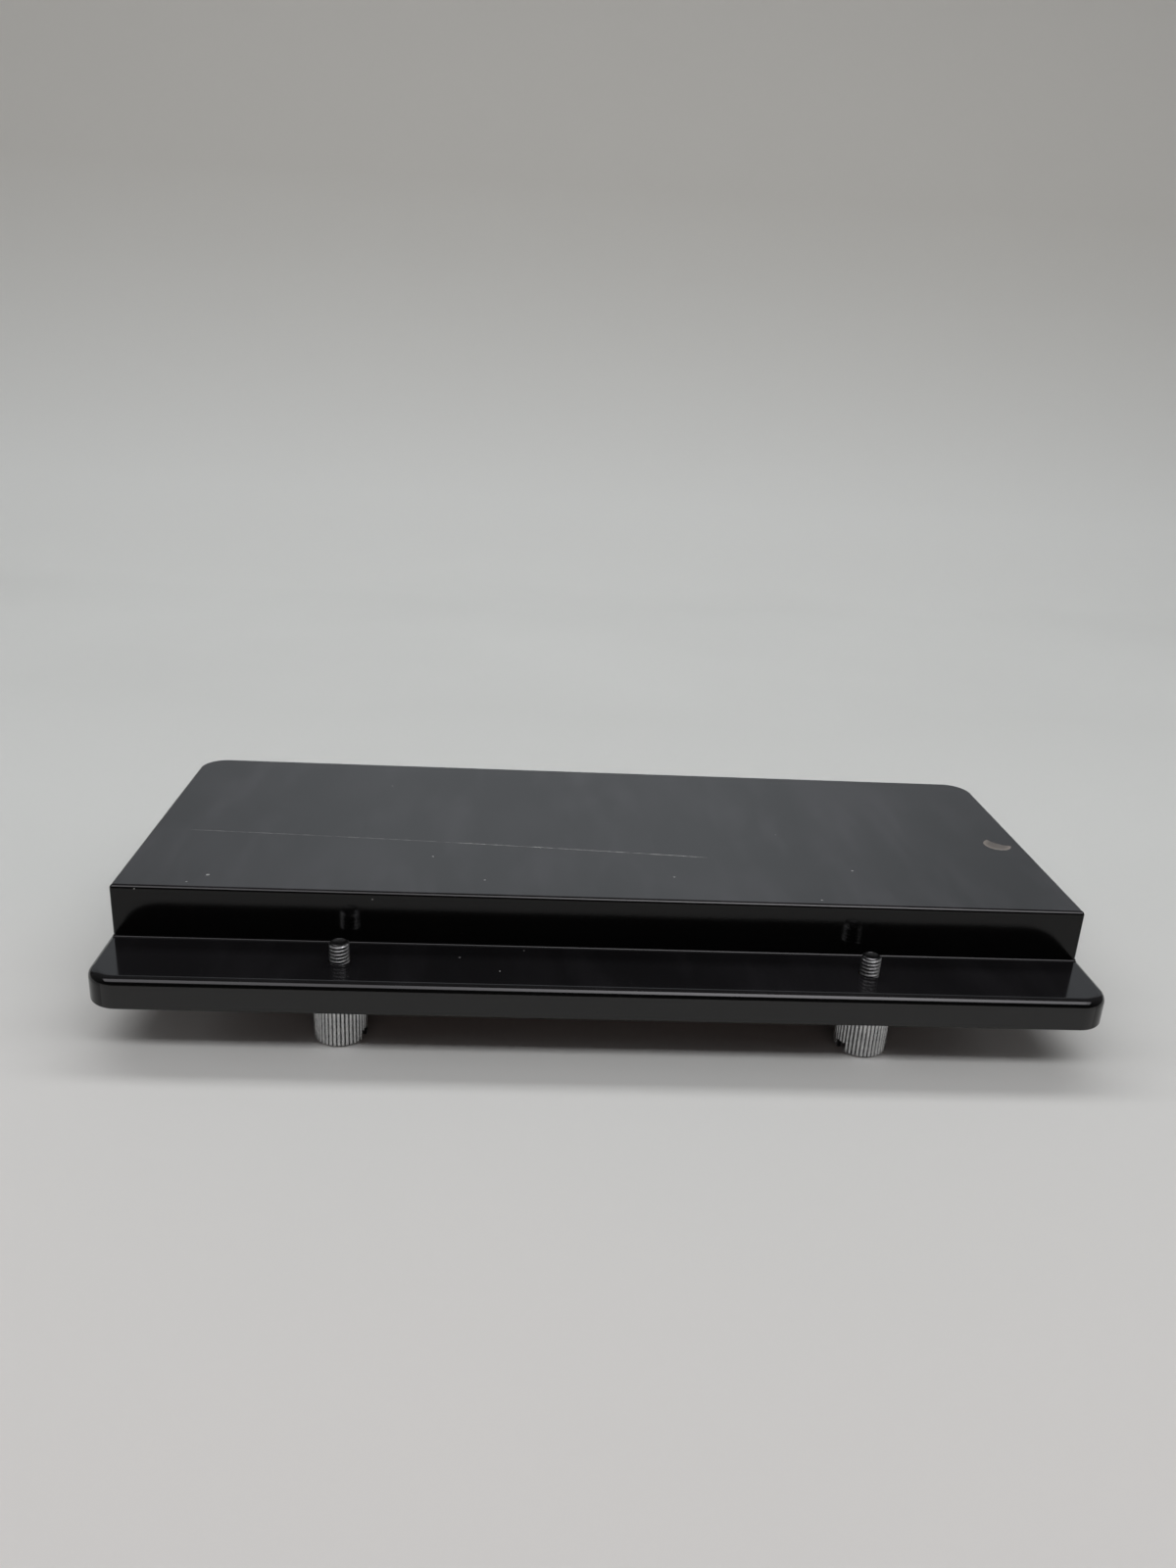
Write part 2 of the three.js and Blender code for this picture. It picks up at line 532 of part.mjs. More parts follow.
function controlBoard() {
  const board = cutBy(
    block(-BOARD.halfWidth, BOARD.halfWidth, BOARD.front, BOARD.back, BOARD_BOTTOM, BOARD_TOP),
    Object.values(BOARD_SCREWS).map((y) => post(0, y, BOARD_BOTTOM - 1, BOARD_TOP + 1, 1.3)));
  piece(deck, 'control_board', board, boardGreen);
  for (const [row, y] of Object.entries(BOARD_SCREWS)) {
    const screw = piece(deck, `board_screw_${row}`, tappingScrew(2.1, 1.4, 1, 5.5), satinSteel,
      0, y, BOARD_TOP + 0.05 + 1.4);
    screw.rotation.x = Math.PI;
  }

  const chipBase = BOARD_TOP + GAP;
  const legs = [-3, -1, 1, 3].map((y) => block(-4.6, 4.6, y - 0.3, y + 0.3, 0, 0.8));
  const chip = joined([block(-3, 3, -4.5, 4.5, 0.2, 2), ...legs]);
  piece(deck, 'driver_chip', chip, chipBlack, 5, CARD_Y - 9, chipBase);
  const can = new THREE.LatheGeometry(
    [[0, 0], [3.1, 0], [3.1, 1.6], [2.8, 1.9], [2.8, 2.3], [3.1, 2.6], [3.1, 7.6], [2.7, 8], [0, 8]]
      .map(([radius, z]) => new THREE.Vector2(radius, z)), 14);
  can.rotateX(Math.PI / 2);
  piece(deck, 'capacitor', solid(can), capSilver, -7, CARD_Y + 12, chipBase);

  for (const [side, sign] of Object.entries(SIDES)) {
    const eye = joined([
      block(-2.3, 2.3, -3, 3, -2.6, 0),
      post(0, -1.4, -3.1, -2, 0.9, 12), post(0, 1.4, -3.1, -2, 0.9, 12),
    ]);
    piece(deck, `card_sensor_${side}`, eye, chipBlack, sign * SENSOR_X, CARD_Y, BOARD_BOTTOM - GAP);
  }

  const top = BOARD_TOP + GAP + SOCKET.height;
  const body = joined([
    block(-SOCKET.halfWidth, SOCKET.halfWidth, BACK - SOCKET.depth, BACK, BOARD_TOP + GAP, top),
    block(-SOCKET.halfWidth, SOCKET.halfWidth, BACK - WALL, BACK, LIP_BOTTOM + GAP, top),
  ]);
  const mouth = block(-7.5, 7.5, BACK - 7, BACK + 1, top - 6.6, top - 1.4);
  const pins = [-4.5, -1.5, 1.5, 4.5].map((x) =>
    block(x - 0.4, x + 0.4, BACK - 8, BACK - 6.2, top - 4.4, top - 3.6));
  piece(deck, 'rear_socket', joined([body.subtract(mouth), ...pins]), chipBlack);
}

piece(deck, 'housing_shell', housingShell(), glossBlack);
piece(deck, 'feed_pan', feedPan(), mattBlack);
PAN_SCREWS.forEach(([x, y], index) => {
  piece(deck, `pan_screw_${index + 1}`, tappingScrew(2.4, 1.4, 1.25, 9), darkSteel, x, y, PAN_FLOOR);
});
for (const [side, sign] of Object.entries(SIDES)) {
  const toIdler = Math.atan2(IDLER.z, sign * IDLER.x);
  const toMotor = Math.atan2(-IDLER.z, sign * (MOTOR_X - IDLER.x));
  const idlerPhase = meshedPhase(toIdler, TEETH.roller, toIdler, TEETH.idler);
  const pinionPhase = meshedPhase(toMotor, TEETH.idler, idlerPhase, TEETH.pinion);
  screwUnit(side, sign);
  rollerUnit(side, sign, toIdler);
  idlerUnit(side, sign, idlerPhase);
  motorUnit(side, sign, pinionPhase);
  motorLead(side, sign);
}
controlBoard();

export default deck;
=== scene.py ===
"""Looks of a card shuffler's feed deck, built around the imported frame.

Shapes are written in millimetres on the frame's axes and become metres when a mesh is made.
Places come from the boxes of the CAD nodes, so each piece sits where the frame says.
"""
import json
import math

import bmesh
import bpy
from mathutils import Matrix, Vector


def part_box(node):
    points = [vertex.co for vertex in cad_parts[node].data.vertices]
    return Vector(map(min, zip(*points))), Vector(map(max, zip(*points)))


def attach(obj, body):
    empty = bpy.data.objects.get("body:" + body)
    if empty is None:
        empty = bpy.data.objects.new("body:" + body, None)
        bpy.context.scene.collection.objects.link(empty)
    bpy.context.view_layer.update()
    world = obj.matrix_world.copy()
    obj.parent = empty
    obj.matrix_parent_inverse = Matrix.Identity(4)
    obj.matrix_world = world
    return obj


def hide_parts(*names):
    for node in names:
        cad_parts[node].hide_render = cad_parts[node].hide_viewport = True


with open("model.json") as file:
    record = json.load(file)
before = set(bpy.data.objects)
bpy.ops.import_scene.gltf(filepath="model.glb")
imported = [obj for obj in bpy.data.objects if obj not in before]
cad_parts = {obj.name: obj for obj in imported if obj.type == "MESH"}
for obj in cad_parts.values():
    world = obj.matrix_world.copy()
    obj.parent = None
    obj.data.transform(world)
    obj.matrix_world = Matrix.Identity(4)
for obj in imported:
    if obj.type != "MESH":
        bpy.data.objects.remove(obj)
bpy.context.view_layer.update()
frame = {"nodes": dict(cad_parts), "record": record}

MM = 0.001
SIDES = {"left": -1, "right": 1}
ROWS = ("front", "rear")
PAN_SCREWS = [f"pan_screw_{number}" for number in range(1, 7)]
SHARP = (0.1, 0.1)  # corner radii of slots and ribs that look square


def box(node):
    """Lowest and highest corner of a CAD node, in millimetres."""
    low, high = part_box(node)
    return low / MM, high / MM


def centre(node):
    low, high = box(node)
    return (low + high) / 2


# Housing: a box with a thinner lip along its front. The lip is a little wider than the box.
shell_low, shell_high = box("housing_shell")
LIP_SIDE = shell_high.x
LIP_OVERHANG = 1.1
SIDE = LIP_SIDE - LIP_OVERHANG
FRONT, BACK = shell_low.y, shell_high.y
BOX_TOP = shell_high.z
LIP_SKIN = 0.8
INSERT_CLEARANCE = 0.05
LIP_TOP = box("lip_insert_left")[1].z + LIP_SKIN + INSERT_CLEARANCE
LIP_THICKNESS = 6.75
LIP_BOTTOM = LIP_TOP - LIP_THICKNESS
LIP_DEPTH = 17.4
BOX_FRONT = FRONT + LIP_DEPTH
CORNER_RADIUS = 6.35
BOX_CORNER = 0.6
WALL = 2.5
LIP_ROOF = 3.0
GAP = 0.3
EDGE_ROUND = 0.5
BOX_EDGE_ROUND = 0.85
LIP_EDGE_ROUND = 1.85
FILLET = 0.35
RIB_HALF_WIDTH = 0.75
COLLAR_WALL = 2.3
COLLAR_CLEARANCE = 0.95
INSERT_HOLE_RADIUS = 3.5
BOSS_RADIUS = 3.0
PAN_SCREW_HOLE_RADIUS = 1.6
PAN_SCREW_HOLE_DEPTH = 9

# Pan: the card side, with its guide rails across and its centre rails front to back
pan_low, pan_high = box("feed_pan")
PAN_FLOOR = 3.0
PAN_TOP = 5.5
PAN_RIM = 14.0
PAN_WALL = 2.0
PAN_CORNER = 3.5
GUIDE_RAIL_REACH = 94
GUIDE_RAIL_OFFSET = 33.5
GUIDE_RAIL_HALF_WIDTH = 1.2
CENTRE_RAIL_REACH = 27
CENTRE_RAIL_OFFSET = 5
CENTRE_RAIL_HALF_WIDTH = 1
BEARING_HALF_WIDTH = 5.5
BUSH_HOLE_RADIUS = 3.2
BUSH_FLANGE = 0.55
IDLER_PIN_HOLE_RADIUS = 1.25
CRADLE_HALF_WIDTH = 5
CRADLE_LENGTH = 19
WINDOW_HALF_LENGTH = 10.5

# Thumbscrews
HEAD_RADIUS = 5.55
HEAD_HEIGHT = 9.5
HEAD_CHAMFER = 0.45
HEAD_RIBS = 40
RIB_DEPTH = 0.36
SLOT_HALF_WIDTH = 1.2
SLOT_DEPTH = 2.2
SHANK_RADIUS = 1.55
THREAD_RADIUS = 2.083
THREAD_PITCH = 0.794
SCREW_TURN_DEGREES = {"left": -18.5, "right": 31.0}

# Long scratch on the top: y = SCRATCH_Y + SCRATCH_SLOPE x + SCRATCH_BEND x^2
SCRATCH_Y = -5.32
SCRATCH_SLOPE = -0.0735
SCRATCH_BEND = -0.000212

# Crescent chip: what lies inside the first circle and outside the second (x, y, radius)
CHIP_CIRCLE = (95.7, 5.6, 3.2)
BITE_CIRCLE = (99.6, 10.6, 5.7)

# Specks seen from above (x, y, radius) and on the front wall (x, z, radius)
TOP_SPECKS = ((-83.5, -23.7, 0.45), (-26.0, -22.4, 0.28), (-37.8, -11.1, 0.28),
              (-86.9, -27.3, 0.25), (-22.0, -40.4, 0.22), (-17.2, -31.6, 0.2))
WALL_SPECKS = ((-96.7, 28.2, 0.22), (-48.7, 27.3, 0.22))


# Mesh tools
def solid(points, faces):
    """Closed mesh object from points in millimetres, with its normals facing out."""
    mesh = bpy.data.meshes.new("solid")
    mesh.from_pydata([[MM * c for c in p] for p in points], [], faces)
    work = bmesh.new()
    work.from_mesh(mesh)
    bmesh.ops.recalc_face_normals(work, faces=work.faces)
    work.to_mesh(mesh)
    work.free()
    obj = bpy.data.objects.new("solid", mesh)
    bpy.context.scene.collection.objects.link(obj)
    return obj


def stacked(rings, hollow=False):
    """Solid through rings of equal length, with flat ends, or closed on itself if hollow."""
    count = len(rings[0])
    points = [p for ring in rings for p in ring]
    faces = []
    for level in range(len(rings) if hollow else len(rings) - 1):
        low = level * count
        high = (level + 1) % len(rings) * count
        for j in range(count):
            k = (j + 1) % count
            faces.append((low + j, low + k, high + k, high + j))
    if not hollow:
        faces.append(tuple(range(count)))
        faces.append(tuple(range(len(points) - count, len(points))))
    return solid(points, faces)


def edge_levels(z, radius, inward, steps=8):
    """(inset, height) pairs of a rounded edge, from the flat face at z to the upright side."""
    if radius == 0:
        return [(0.0, z)]
    angles = [math.radians(90 * k / steps) for k in range(steps + 1)]
    return [(radius * (1 - math.sin(a)), z + inward * radius * (1 - math.cos(a))) for a in angles]


def levels(z0, z1, low_round, high_round):
    return edge_levels(z0, low_round, 1) + edge_levels(z1, high_round, -1)[::-1]


def outline(area, radii, inset=0.0, steps=12):
    """Rectangle x0, x1, y0, y1 with one radius at its front corners and one at its back ones."""
    x0, x1, y0, y1 = area
    front, back = (max(r - inset, 0.05) for r in radii)
    corners = [
        (x1 - inset - front, y0 + inset + front, front, -90),
        (x1 - inset - back, y1 - inset - back, back, 0),
        (x0 + inset + back, y1 - inset - back, back, 90),
        (x0 + inset + front, y0 + inset + front, front, 180),
    ]
    points = []
    for x, y, radius, start in corners:
        for k in range(steps + 1):
            angle = math.radians(start + 90 * k / steps)
            points.append((x + radius * math.cos(angle), y + radius * math.sin(angle)))
    return points


def slab(area, radii, z0, z1, low_round=0.0, high_round=0.0, steps=12):
    rings = [
        [(x, y, z) for x, y in outline(area, radii, inset, steps)]
        for inset, z in levels(z0, z1, low_round, high_round)
    ]
    return stacked(rings)


def turned(profile, place=(0.0, 0.0, 0.0), axis="Z", segments=64, hollow=False):
    """Solid of revolution from (radius, distance along the axis) points."""
    rings = []
    for radius, along in profile:
        ring = []
        for j in range(segments):
            angle = 2 * math.pi * j / segments
            u, v = radius * math.cos(angle), radius * math.sin(angle)
            offset = (u, v, along) if axis == "Z" else (u, along, v)
            ring.append([p + o for p, o in zip(place, offset)])
        rings.append(ring)
    return stacked(rings, hollow)


def post(x, y, z0, z1, radius, low_round=0.0, high_round=0.0, segments=48):
    profile = [(radius - inset, z) for inset, z in levels(z0, z1, low_round, high_round)]
    return turned(profile, (x, y, 0.0), segments=segments)


def bar(x, z, y0, y1, radius):
    return turned([(radius, y0), (radius, y1)], (x, 0.0, z), "Y", 32)


def bake(obj):
    """Puts the result of an object's modifiers into its mesh."""
    graph = bpy.context.evaluated_depsgraph_get()
    before = obj.data
    obj.data = bpy.data.meshes.new_from_object(obj.evaluated_get(graph))
    obj.modifiers.clear()
    bpy.data.meshes.remove(before)


def combine(target, tools, operation):
    """Adds the tools to the target or cuts them from it, and removes them."""
    for tool in tools:
        modifier = target.modifiers.new("combine", "BOOLEAN")
        modifier.operation = operation
        modifier.solver = "MANIFOLD"
        modifier.object = tool
    bake(target)
    for tool in tools:
        mesh = tool.data
        bpy.data.objects.remove(tool)
        bpy.data.meshes.remove(mesh)
    return target


def add(target, *tools):
    return combine(target, tools, "UNION")


def cut(target, *tools):
    return combine(target, tools, "DIFFERENCE")


def smooth(obj):
    """Smooth shading that breaks at corners, with flat faces kept flat."""
    limit_degrees = 32
    work = bmesh.new()
    work.from_mesh(obj.data)
    bmesh.ops.dissolve_degenerate(work, dist=1e-7, edges=work.edges)
    for face in work.faces:
        face.smooth = True
    for edge in work.edges:
        edge.smooth = edge.calc_face_angle(math.pi) < math.radians(limit_degrees)
    work.to_mesh(obj.data)
    work.free()
    modifier = obj.modifiers.new("weighted normals", "WEIGHTED_NORMAL")
    modifier.keep_sharp = True


def place_piece(obj, name, body, slot, material, *nodes):
    """Names a finished piece and stands it for its CAD nodes."""
    obj.name = name
    obj.data.name = name
    obj.data.materials.clear()
    obj.data.materials.append(material)
    smooth(obj)
    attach(obj, body)
    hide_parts(*nodes)
    return obj


# Pieces
def screw_place(side):
    return centre(f"thumbscrew_{side}")


def pan_screw_places():
    return [centre(screw) for screw in PAN_SCREWS]


def housing_shell():
    """Stepped housing: box and lip in one moulding, cored from below."""
    corners = (CORNER_RADIUS, CORNER_RADIUS)
    shell = slab((-LIP_SIDE, LIP_SIDE, FRONT, BACK), corners, LIP_BOTTOM, LIP_TOP,
                 EDGE_ROUND, LIP_EDGE_ROUND)
    box_foot = LIP_TOP - 2 * LIP_EDGE_ROUND
    tower = slab((-SIDE, SIDE, BOX_FRONT, BACK), (BOX_CORNER, CORNER_RADIUS),
                 box_foot, BOX_TOP, 0.0, BOX_EDGE_ROUND)
    arc = [math.radians(90 * k / 6) for k in range(7)]
    sunk = 0.2
    section = [(BOX_FRONT + sunk, LIP_TOP - sunk), (BOX_FRONT - FILLET, LIP_TOP - sunk)]
    section += [(BOX_FRONT - FILLET * (1 - math.sin(a)), LIP_TOP + FILLET * (1 - math.cos(a)))
                for a in arc]
    section += [(BOX_FRONT + sunk, LIP_TOP + FILLET)]
    reach = LIP_SIDE - LIP_EDGE_ROUND * 0.6
    fillet = stacked([[(x, y, z) for y, z in section] for x in (-reach, reach)])
    add(shell, tower, fillet)

    below = LIP_BOTTOM - 1
    channel_top = LIP_TOP - LIP_ROOF
    inner_radius = CORNER_RADIUS - WALL
    inner_side = SIDE - WALL
    cut(shell,
        slab((-inner_side, inner_side, BOX_FRONT + WALL, BACK - WALL), (1.0, inner_radius),
             below, BOX_TOP - WALL, 0.0, 0.8),
        slab((-inner_side, inner_side, FRONT + WALL, BOX_FRONT), (inner_radius, 1.0),
             below, channel_top, 0.0, 0.5))

    rib_bottom, rib_top = LIP_BOTTOM + 0.4, channel_top + 0.5
    rib_pitch = abs(screw_place("left").x) / 3
    ribs = [slab((k * rib_pitch - RIB_HALF_WIDTH, k * rib_pitch + RIB_HALF_WIDTH,
                  FRONT + 1, BOX_FRONT + 1),
                 SHARP, rib_bottom, rib_top, 0.3, 0.0, 2) for k in range(-5, 6)]
    collars = [post(screw_place(side).x, screw_place(side).y, rib_bottom, rib_top,
                    HEAD_RADIUS + COLLAR_WALL, 0.3) for side in SIDES]
    bosses = [post(p.x, p.y, PAN_TOP + GAP, BOX_TOP - WALL + 0.5, BOSS_RADIUS, 0.3)
              for p in pan_screw_places()]
    add(shell, *ribs, *collars, *bosses)

    holes = []
    for side in SIDES:
        x, y, _ = screw_place(side)
        holes += [
            post(x, y, below, channel_top, HEAD_RADIUS + COLLAR_CLEARANCE),
            post(x, y, channel_top - 0.5, LIP_TOP - LIP_SKIN, INSERT_HOLE_RADIUS),
            post(x, y, LIP_TOP - 1.5, LIP_TOP + 1, THREAD_RADIUS + 0.1),
        ]
    holes += [post(p.x, p.y, PAN_TOP, PAN_TOP + PAN_SCREW_HOLE_DEPTH, PAN_SCREW_HOLE_RADIUS,
                   segments=24) for p in pan_screw_places()]
    low, high = box("rear_socket")
    holes.append(slab((low.x - GAP, high.x + GAP, BACK - WALL - 1, BACK + 1), SHARP,
                      below, high.z + GAP, steps=2))
    cut(shell, *holes)
    return shell


def helical_thread(z0, z1):
    """Sixty degree thread with flat crests and roots, one turn longer than z0 to z1 at each end."""
    segments = 64
    turns = math.ceil((z1 - z0) / THREAD_PITCH) + 1
    last = turns * segments
    root = THREAD_RADIUS - 0.58 * THREAD_PITCH
    # Radius, share of the pitch and length of the helices along the root's and crest's edges
    strands = [(root, 0.0, last + segments), (root, 0.22, last),
               (THREAD_RADIUS, 0.55, last), (THREAD_RADIUS, 0.67, last)]
    points, starts = [], []
    for radius, lift, count in strands:
        starts.append(len(points))
        for j in range(count + 1):
            angle = 2 * math.pi * j / segments
            rise = THREAD_PITCH * (j / segments + lift - 1)
            points.append((radius * math.cos(angle), radius * math.sin(angle), z0 + rise))
    foot, head = len(points), len(points) + 1
    points += [(0.0, 0.0, z0 - THREAD_PITCH), (0.0, 0.0, z0 + THREAD_PITCH * turns)]
    starts.append(starts[0] + segments)
    faces = []
    for low, high in zip(starts, starts[1:]):
        for j in range(last):
            faces.append((low + j, low + j + 1, high + j + 1, high + j))
    for j in range(segments):
        faces.append((foot, starts[0] + j + 1, starts[0] + j))
        faces.append((head, starts[0] + last + j, starts[0] + last + j + 1))
    faces.append((foot, *starts))
    faces.append((head, *[start + last for start in reversed(starts)]))
    return solid(points, faces)


def thumbscrew():
    """Knurled, slotted thumbscrew about its own axis, with z = 0 at the head's slotted end."""
    per_rib = 12
    low, high = box("thumbscrew_left")
    tip = high.z - low.z
    thread_start = LIP_TOP - LIP_SKIN + 0.15 - low.z

    def head_ring(inset, z):
        ring = []
        for j in range(HEAD_RIBS * per_rib):
            across = abs(2 * ((j / per_rib) % 1) - 1)
            depth = max(inset, RIB_DEPTH * (1 - across) ** 2.5)
            angle = 2 * math.pi * (j / per_rib + 0.5) / HEAD_RIBS
            radius = HEAD_RADIUS - depth
            ring.append((radius * math.cos(angle), radius * math.sin(angle), z))
        return ring

    bevel = [(HEAD_CHAMFER * (1 - k / 4), HEAD_CHAMFER * k / 4) for k in range(5)]
    rings = [head_ring(bevel[0][0] + 0.25, bevel[0][1])]
    rings += [head_ring(inset, z) for inset, z in bevel]
    rings += [head_ring(inset, HEAD_HEIGHT - z) for inset, z in reversed(bevel)]
    rings += [head_ring(bevel[0][0] + 0.25, HEAD_HEIGHT)]
    head = stacked(rings)

    trim = turned([
        (0.3, thread_start), (THREAD_RADIUS - 0.45, thread_start),
        (THREAD_RADIUS + 0.1, thread_start + 0.5), (THREAD_RADIUS + 0.1, tip - 0.5),
        (THREAD_RADIUS - 0.45, tip), (THREAD_RADIUS - 0.65, tip),
        (THREAD_RADIUS - 0.9, tip - 0.16), (0.7, tip - 0.26), (0.2, tip - 0.3),
    ])
    thread = combine(helical_thread(thread_start, tip), [trim], "INTERSECT")
    shank = post(0.0, 0.0, HEAD_HEIGHT - 0.5, thread_start + 0.2, SHANK_RADIUS)
    add(head, shank, thread)
    slot_area = (-HEAD_RADIUS - 1, HEAD_RADIUS + 1, -SLOT_HALF_WIDTH, SLOT_HALF_WIDTH)
    return cut(head, slab(slot_area, SHARP, -1.0, SLOT_DEPTH, 0.0, 0.15, 2))


def feed_pan():
    """Card-side pan: floor with roller windows, guide rails, bearing posts and motor cradles."""
    area = (pan_low.x, pan_high.x, pan_low.y, pan_high.y)
    pan = slab(area, (PAN_CORNER, PAN_CORNER), PAN_FLOOR, PAN_RIM, 0.6, 0.4)
    hollow = [a + PAN_WALL * s for a, s in zip(area, (1, -1, 1, -1))]
    cut(pan, slab(hollow, (1.5, 1.5), PAN_TOP, PAN_RIM + 1, 0.5, 0.0))
    middle = (pan_low.y + pan_high.y) / 2
    join = PAN_FLOOR + 0.5
    foot = PAN_TOP - 0.5
    added = []
    for end in (-1, 1):
        rail = middle + end * GUIDE_RAIL_OFFSET
        added.append(slab((-GUIDE_RAIL_REACH, GUIDE_RAIL_REACH,
                           rail - GUIDE_RAIL_HALF_WIDTH, rail + GUIDE_RAIL_HALF_WIDTH),
                          (1.1, 1.1), pan_low.z, join, 0.7, 0.0))
    for end in (-1, 1):
        rail = end * CENTRE_RAIL_OFFSET
        added.append(slab((rail - CENTRE_RAIL_HALF_WIDTH, rail + CENTRE_RAIL_HALF_WIDTH,
                           middle - CENTRE_RAIL_REACH, middle + CENTRE_RAIL_REACH),
                          (0.9, 0.9), 1.0, join, 0.6, 0.0))
    cuts = []
    for p in pan_screw_places():
        cuts += [
            post(p.x, p.y, PAN_FLOOR - 1, PAN_TOP + 1, PAN_SCREW_HOLE_RADIUS, segments=24),
            turned([(4.4, PAN_FLOOR - 1), (2.9, PAN_FLOOR + 0.5), (2.9, PAN_FLOOR + 1.5)],
                   (p.x, p.y, 0)),
        ]
    board_bottom = box("control_board")[0].z
    for row in ROWS:
        p = centre(f"board_screw_{row}")
        added.append(post(p.x, p.y, foot, board_bottom - GAP, 2.6, 0.0, 0.2))
        cuts.append(post(p.x, p.y, PAN_TOP, board_bottom + 1, 1.3, segments=24))
    socket_low, socket_high = box("rear_socket")
    cuts.append(slab((socket_low.x - 2 * GAP, socket_high.x + 2 * GAP,
                      pan_high.y - PAN_WALL - 1, pan_high.y + 1),
                     SHARP, board_bottom - GAP, PAN_RIM + 1, steps=2))

    for side, sign in SIDES.items():
        roller = centre(f"roller_shaft_{side}")
        motor = centre(f"motor_shaft_{side}")
        idler = centre(f"idler_pin_{side}")
        plate_face = box(f"shaft_bush_{side}_front")[1].y - BUSH_FLANGE
        rear_post = box(f"shaft_bush_{side}_rear")[0].y + BUSH_FLANGE
        ends = sorted((sign * (abs(roller.x) - BEARING_HALF_WIDTH), sign * (abs(idler.x) + 4)))
        added.append(slab((*ends, pan_low.y + 1, plate_face), (0.3, 0.3),
                          foot, roller.z + 7, 0.0, 0.5))
        added.append(slab((roller.x - BEARING_HALF_WIDTH, roller.x + BEARING_HALF_WIDTH,
                           rear_post, pan_high.y - 1), (0.3, 0.3),
                          foot, roller.z + 5.5, 0.0, 0.5))
        cradle_front = box(f"gearbox_{side}")[0].y + 3
        cradle_top = box(f"motor_can_{side}")[0].z - GAP
        added.append(slab((motor.x - CRADLE_HALF_WIDTH, motor.x + CRADLE_HALF_WIDTH,
                           cradle_front, cradle_front + CRADLE_LENGTH), (0.5, 0.5),
                          foot, cradle_top))
        ear_bottom = box(f"motor_clamp_{side}")[0].z
        for end in ("inner", "outer"):
            ear = centre(f"clamp_screw_{side}_{end}")
            added.append(post(ear.x, ear.y, foot, ear_bottom - GAP, 2.1))
            cuts.append(post(ear.x, ear.y, PAN_TOP, ear_bottom, 1.25, segments=24))
        cuts += [
            bar(roller.x, roller.z, pan_low.y + PAN_WALL, plate_face + 1, BUSH_HOLE_RADIUS),
            bar(roller.x, roller.z, rear_post - 1, pan_high.y - PAN_WALL, BUSH_HOLE_RADIUS),
            bar(idler.x, idler.z, pan_low.y + 1.5, plate_face + 1, IDLER_PIN_HOLE_RADIUS),
        ]
        eye = centre(f"card_sensor_{side}")
        cuts.append(turned([(3.9, PAN_FLOOR - 1), (2.4, PAN_FLOOR + 0.5), (2.4, PAN_TOP + 1)],
                           (eye.x, eye.y, 0)))
        for row in ROWS:
            low, high = box(f"feed_tyre_{side}_{row}")
            window = (roller.x - WINDOW_HALF_LENGTH, roller.x + WINDOW_HALF_LENGTH,
                      low.y - 1, high.y + 1)
            rings = []
            for grow, z in ((1.5, PAN_FLOOR - 0.9), (0.0, PAN_FLOOR + 0.6), (0.0, PAN_TOP + 0.5)):
                wide = [a + grow * s for a, s in zip(window, (-1, 1, -1, 1))]
                rings.append([(x, y, z) for x, y in outline(wide, (1 + grow, 1 + grow))])
            cuts.append(stacked(rings))
    add(pan, *added)
    return cut(pan, *cuts)


def pan_screw(place):
    """Cross-head self-tapping screw, head down, with a fine thread on its shank."""
    low, high = place
    x, y = (low.x + high.x) / 2, (low.y + high.y) / 2
    root, crest, pitch = 0.95, 1.25, 0.66
    head_profile = ((1.4, 0.0), (1.95, 0.12), (2.3, 0.45), (2.4, 0.9), (2.4, 1.4))
    head = [(radius, low.z + rise) for radius, rise in head_profile]
    threads = []
    z = low.z + 2.0
    while z < high.z - 1.9:
        threads += [(root, z), (crest, z + 0.22), (root, z + 0.44)]
        z += pitch
    shank = [(root, low.z + 1.4), *threads, (root, high.z - 1.2), (0.3, high.z)]
    screw = turned(head + shank, (x, y, 0), segments=40)
    reach, half_width = 1.35, 0.26
    arms = [(x - reach, x + reach, y - half_width, y + half_width),
            (x - half_width, x + half_width, y - reach, y + reach)]
    return cut(screw, *[slab(arm, SHARP, low.z - 1, low.z + 0.85, steps=2) for arm in arms])


def feed_tyre(node):
    """Grooved rubber tyre with rounded shoulders."""
    low, high = box(node)
    x, z = (low.x + high.x) / 2, (low.z + high.z) / 2
    outer, inner = (high.x - low.x) / 2, 8.0
    grooves = 7
    pitch = (high.y - low.y - 1.6) / grooves
    floor = outer - 0.3
    profile = [(inner, low.y), (outer - 0.7, low.y), (outer - 0.25, low.y + 0.2),
               (outer, low.y + 0.7)]
    for k in range(grooves):
        y = low.y + 0.8 + pitch * (k + 0.5)
        profile += [(outer, y - 0.26), (floor, y - 0.12), (floor, y + 0.12), (outer, y + 0.26)]
    profile += [(outer, high.y - 0.7), (outer - 0.25, high.y - 0.2),
                (outer - 0.7, high.y), (inner, high.y)]
    return turned(profile, (x, 0, z), "Y", 96, hollow=True)


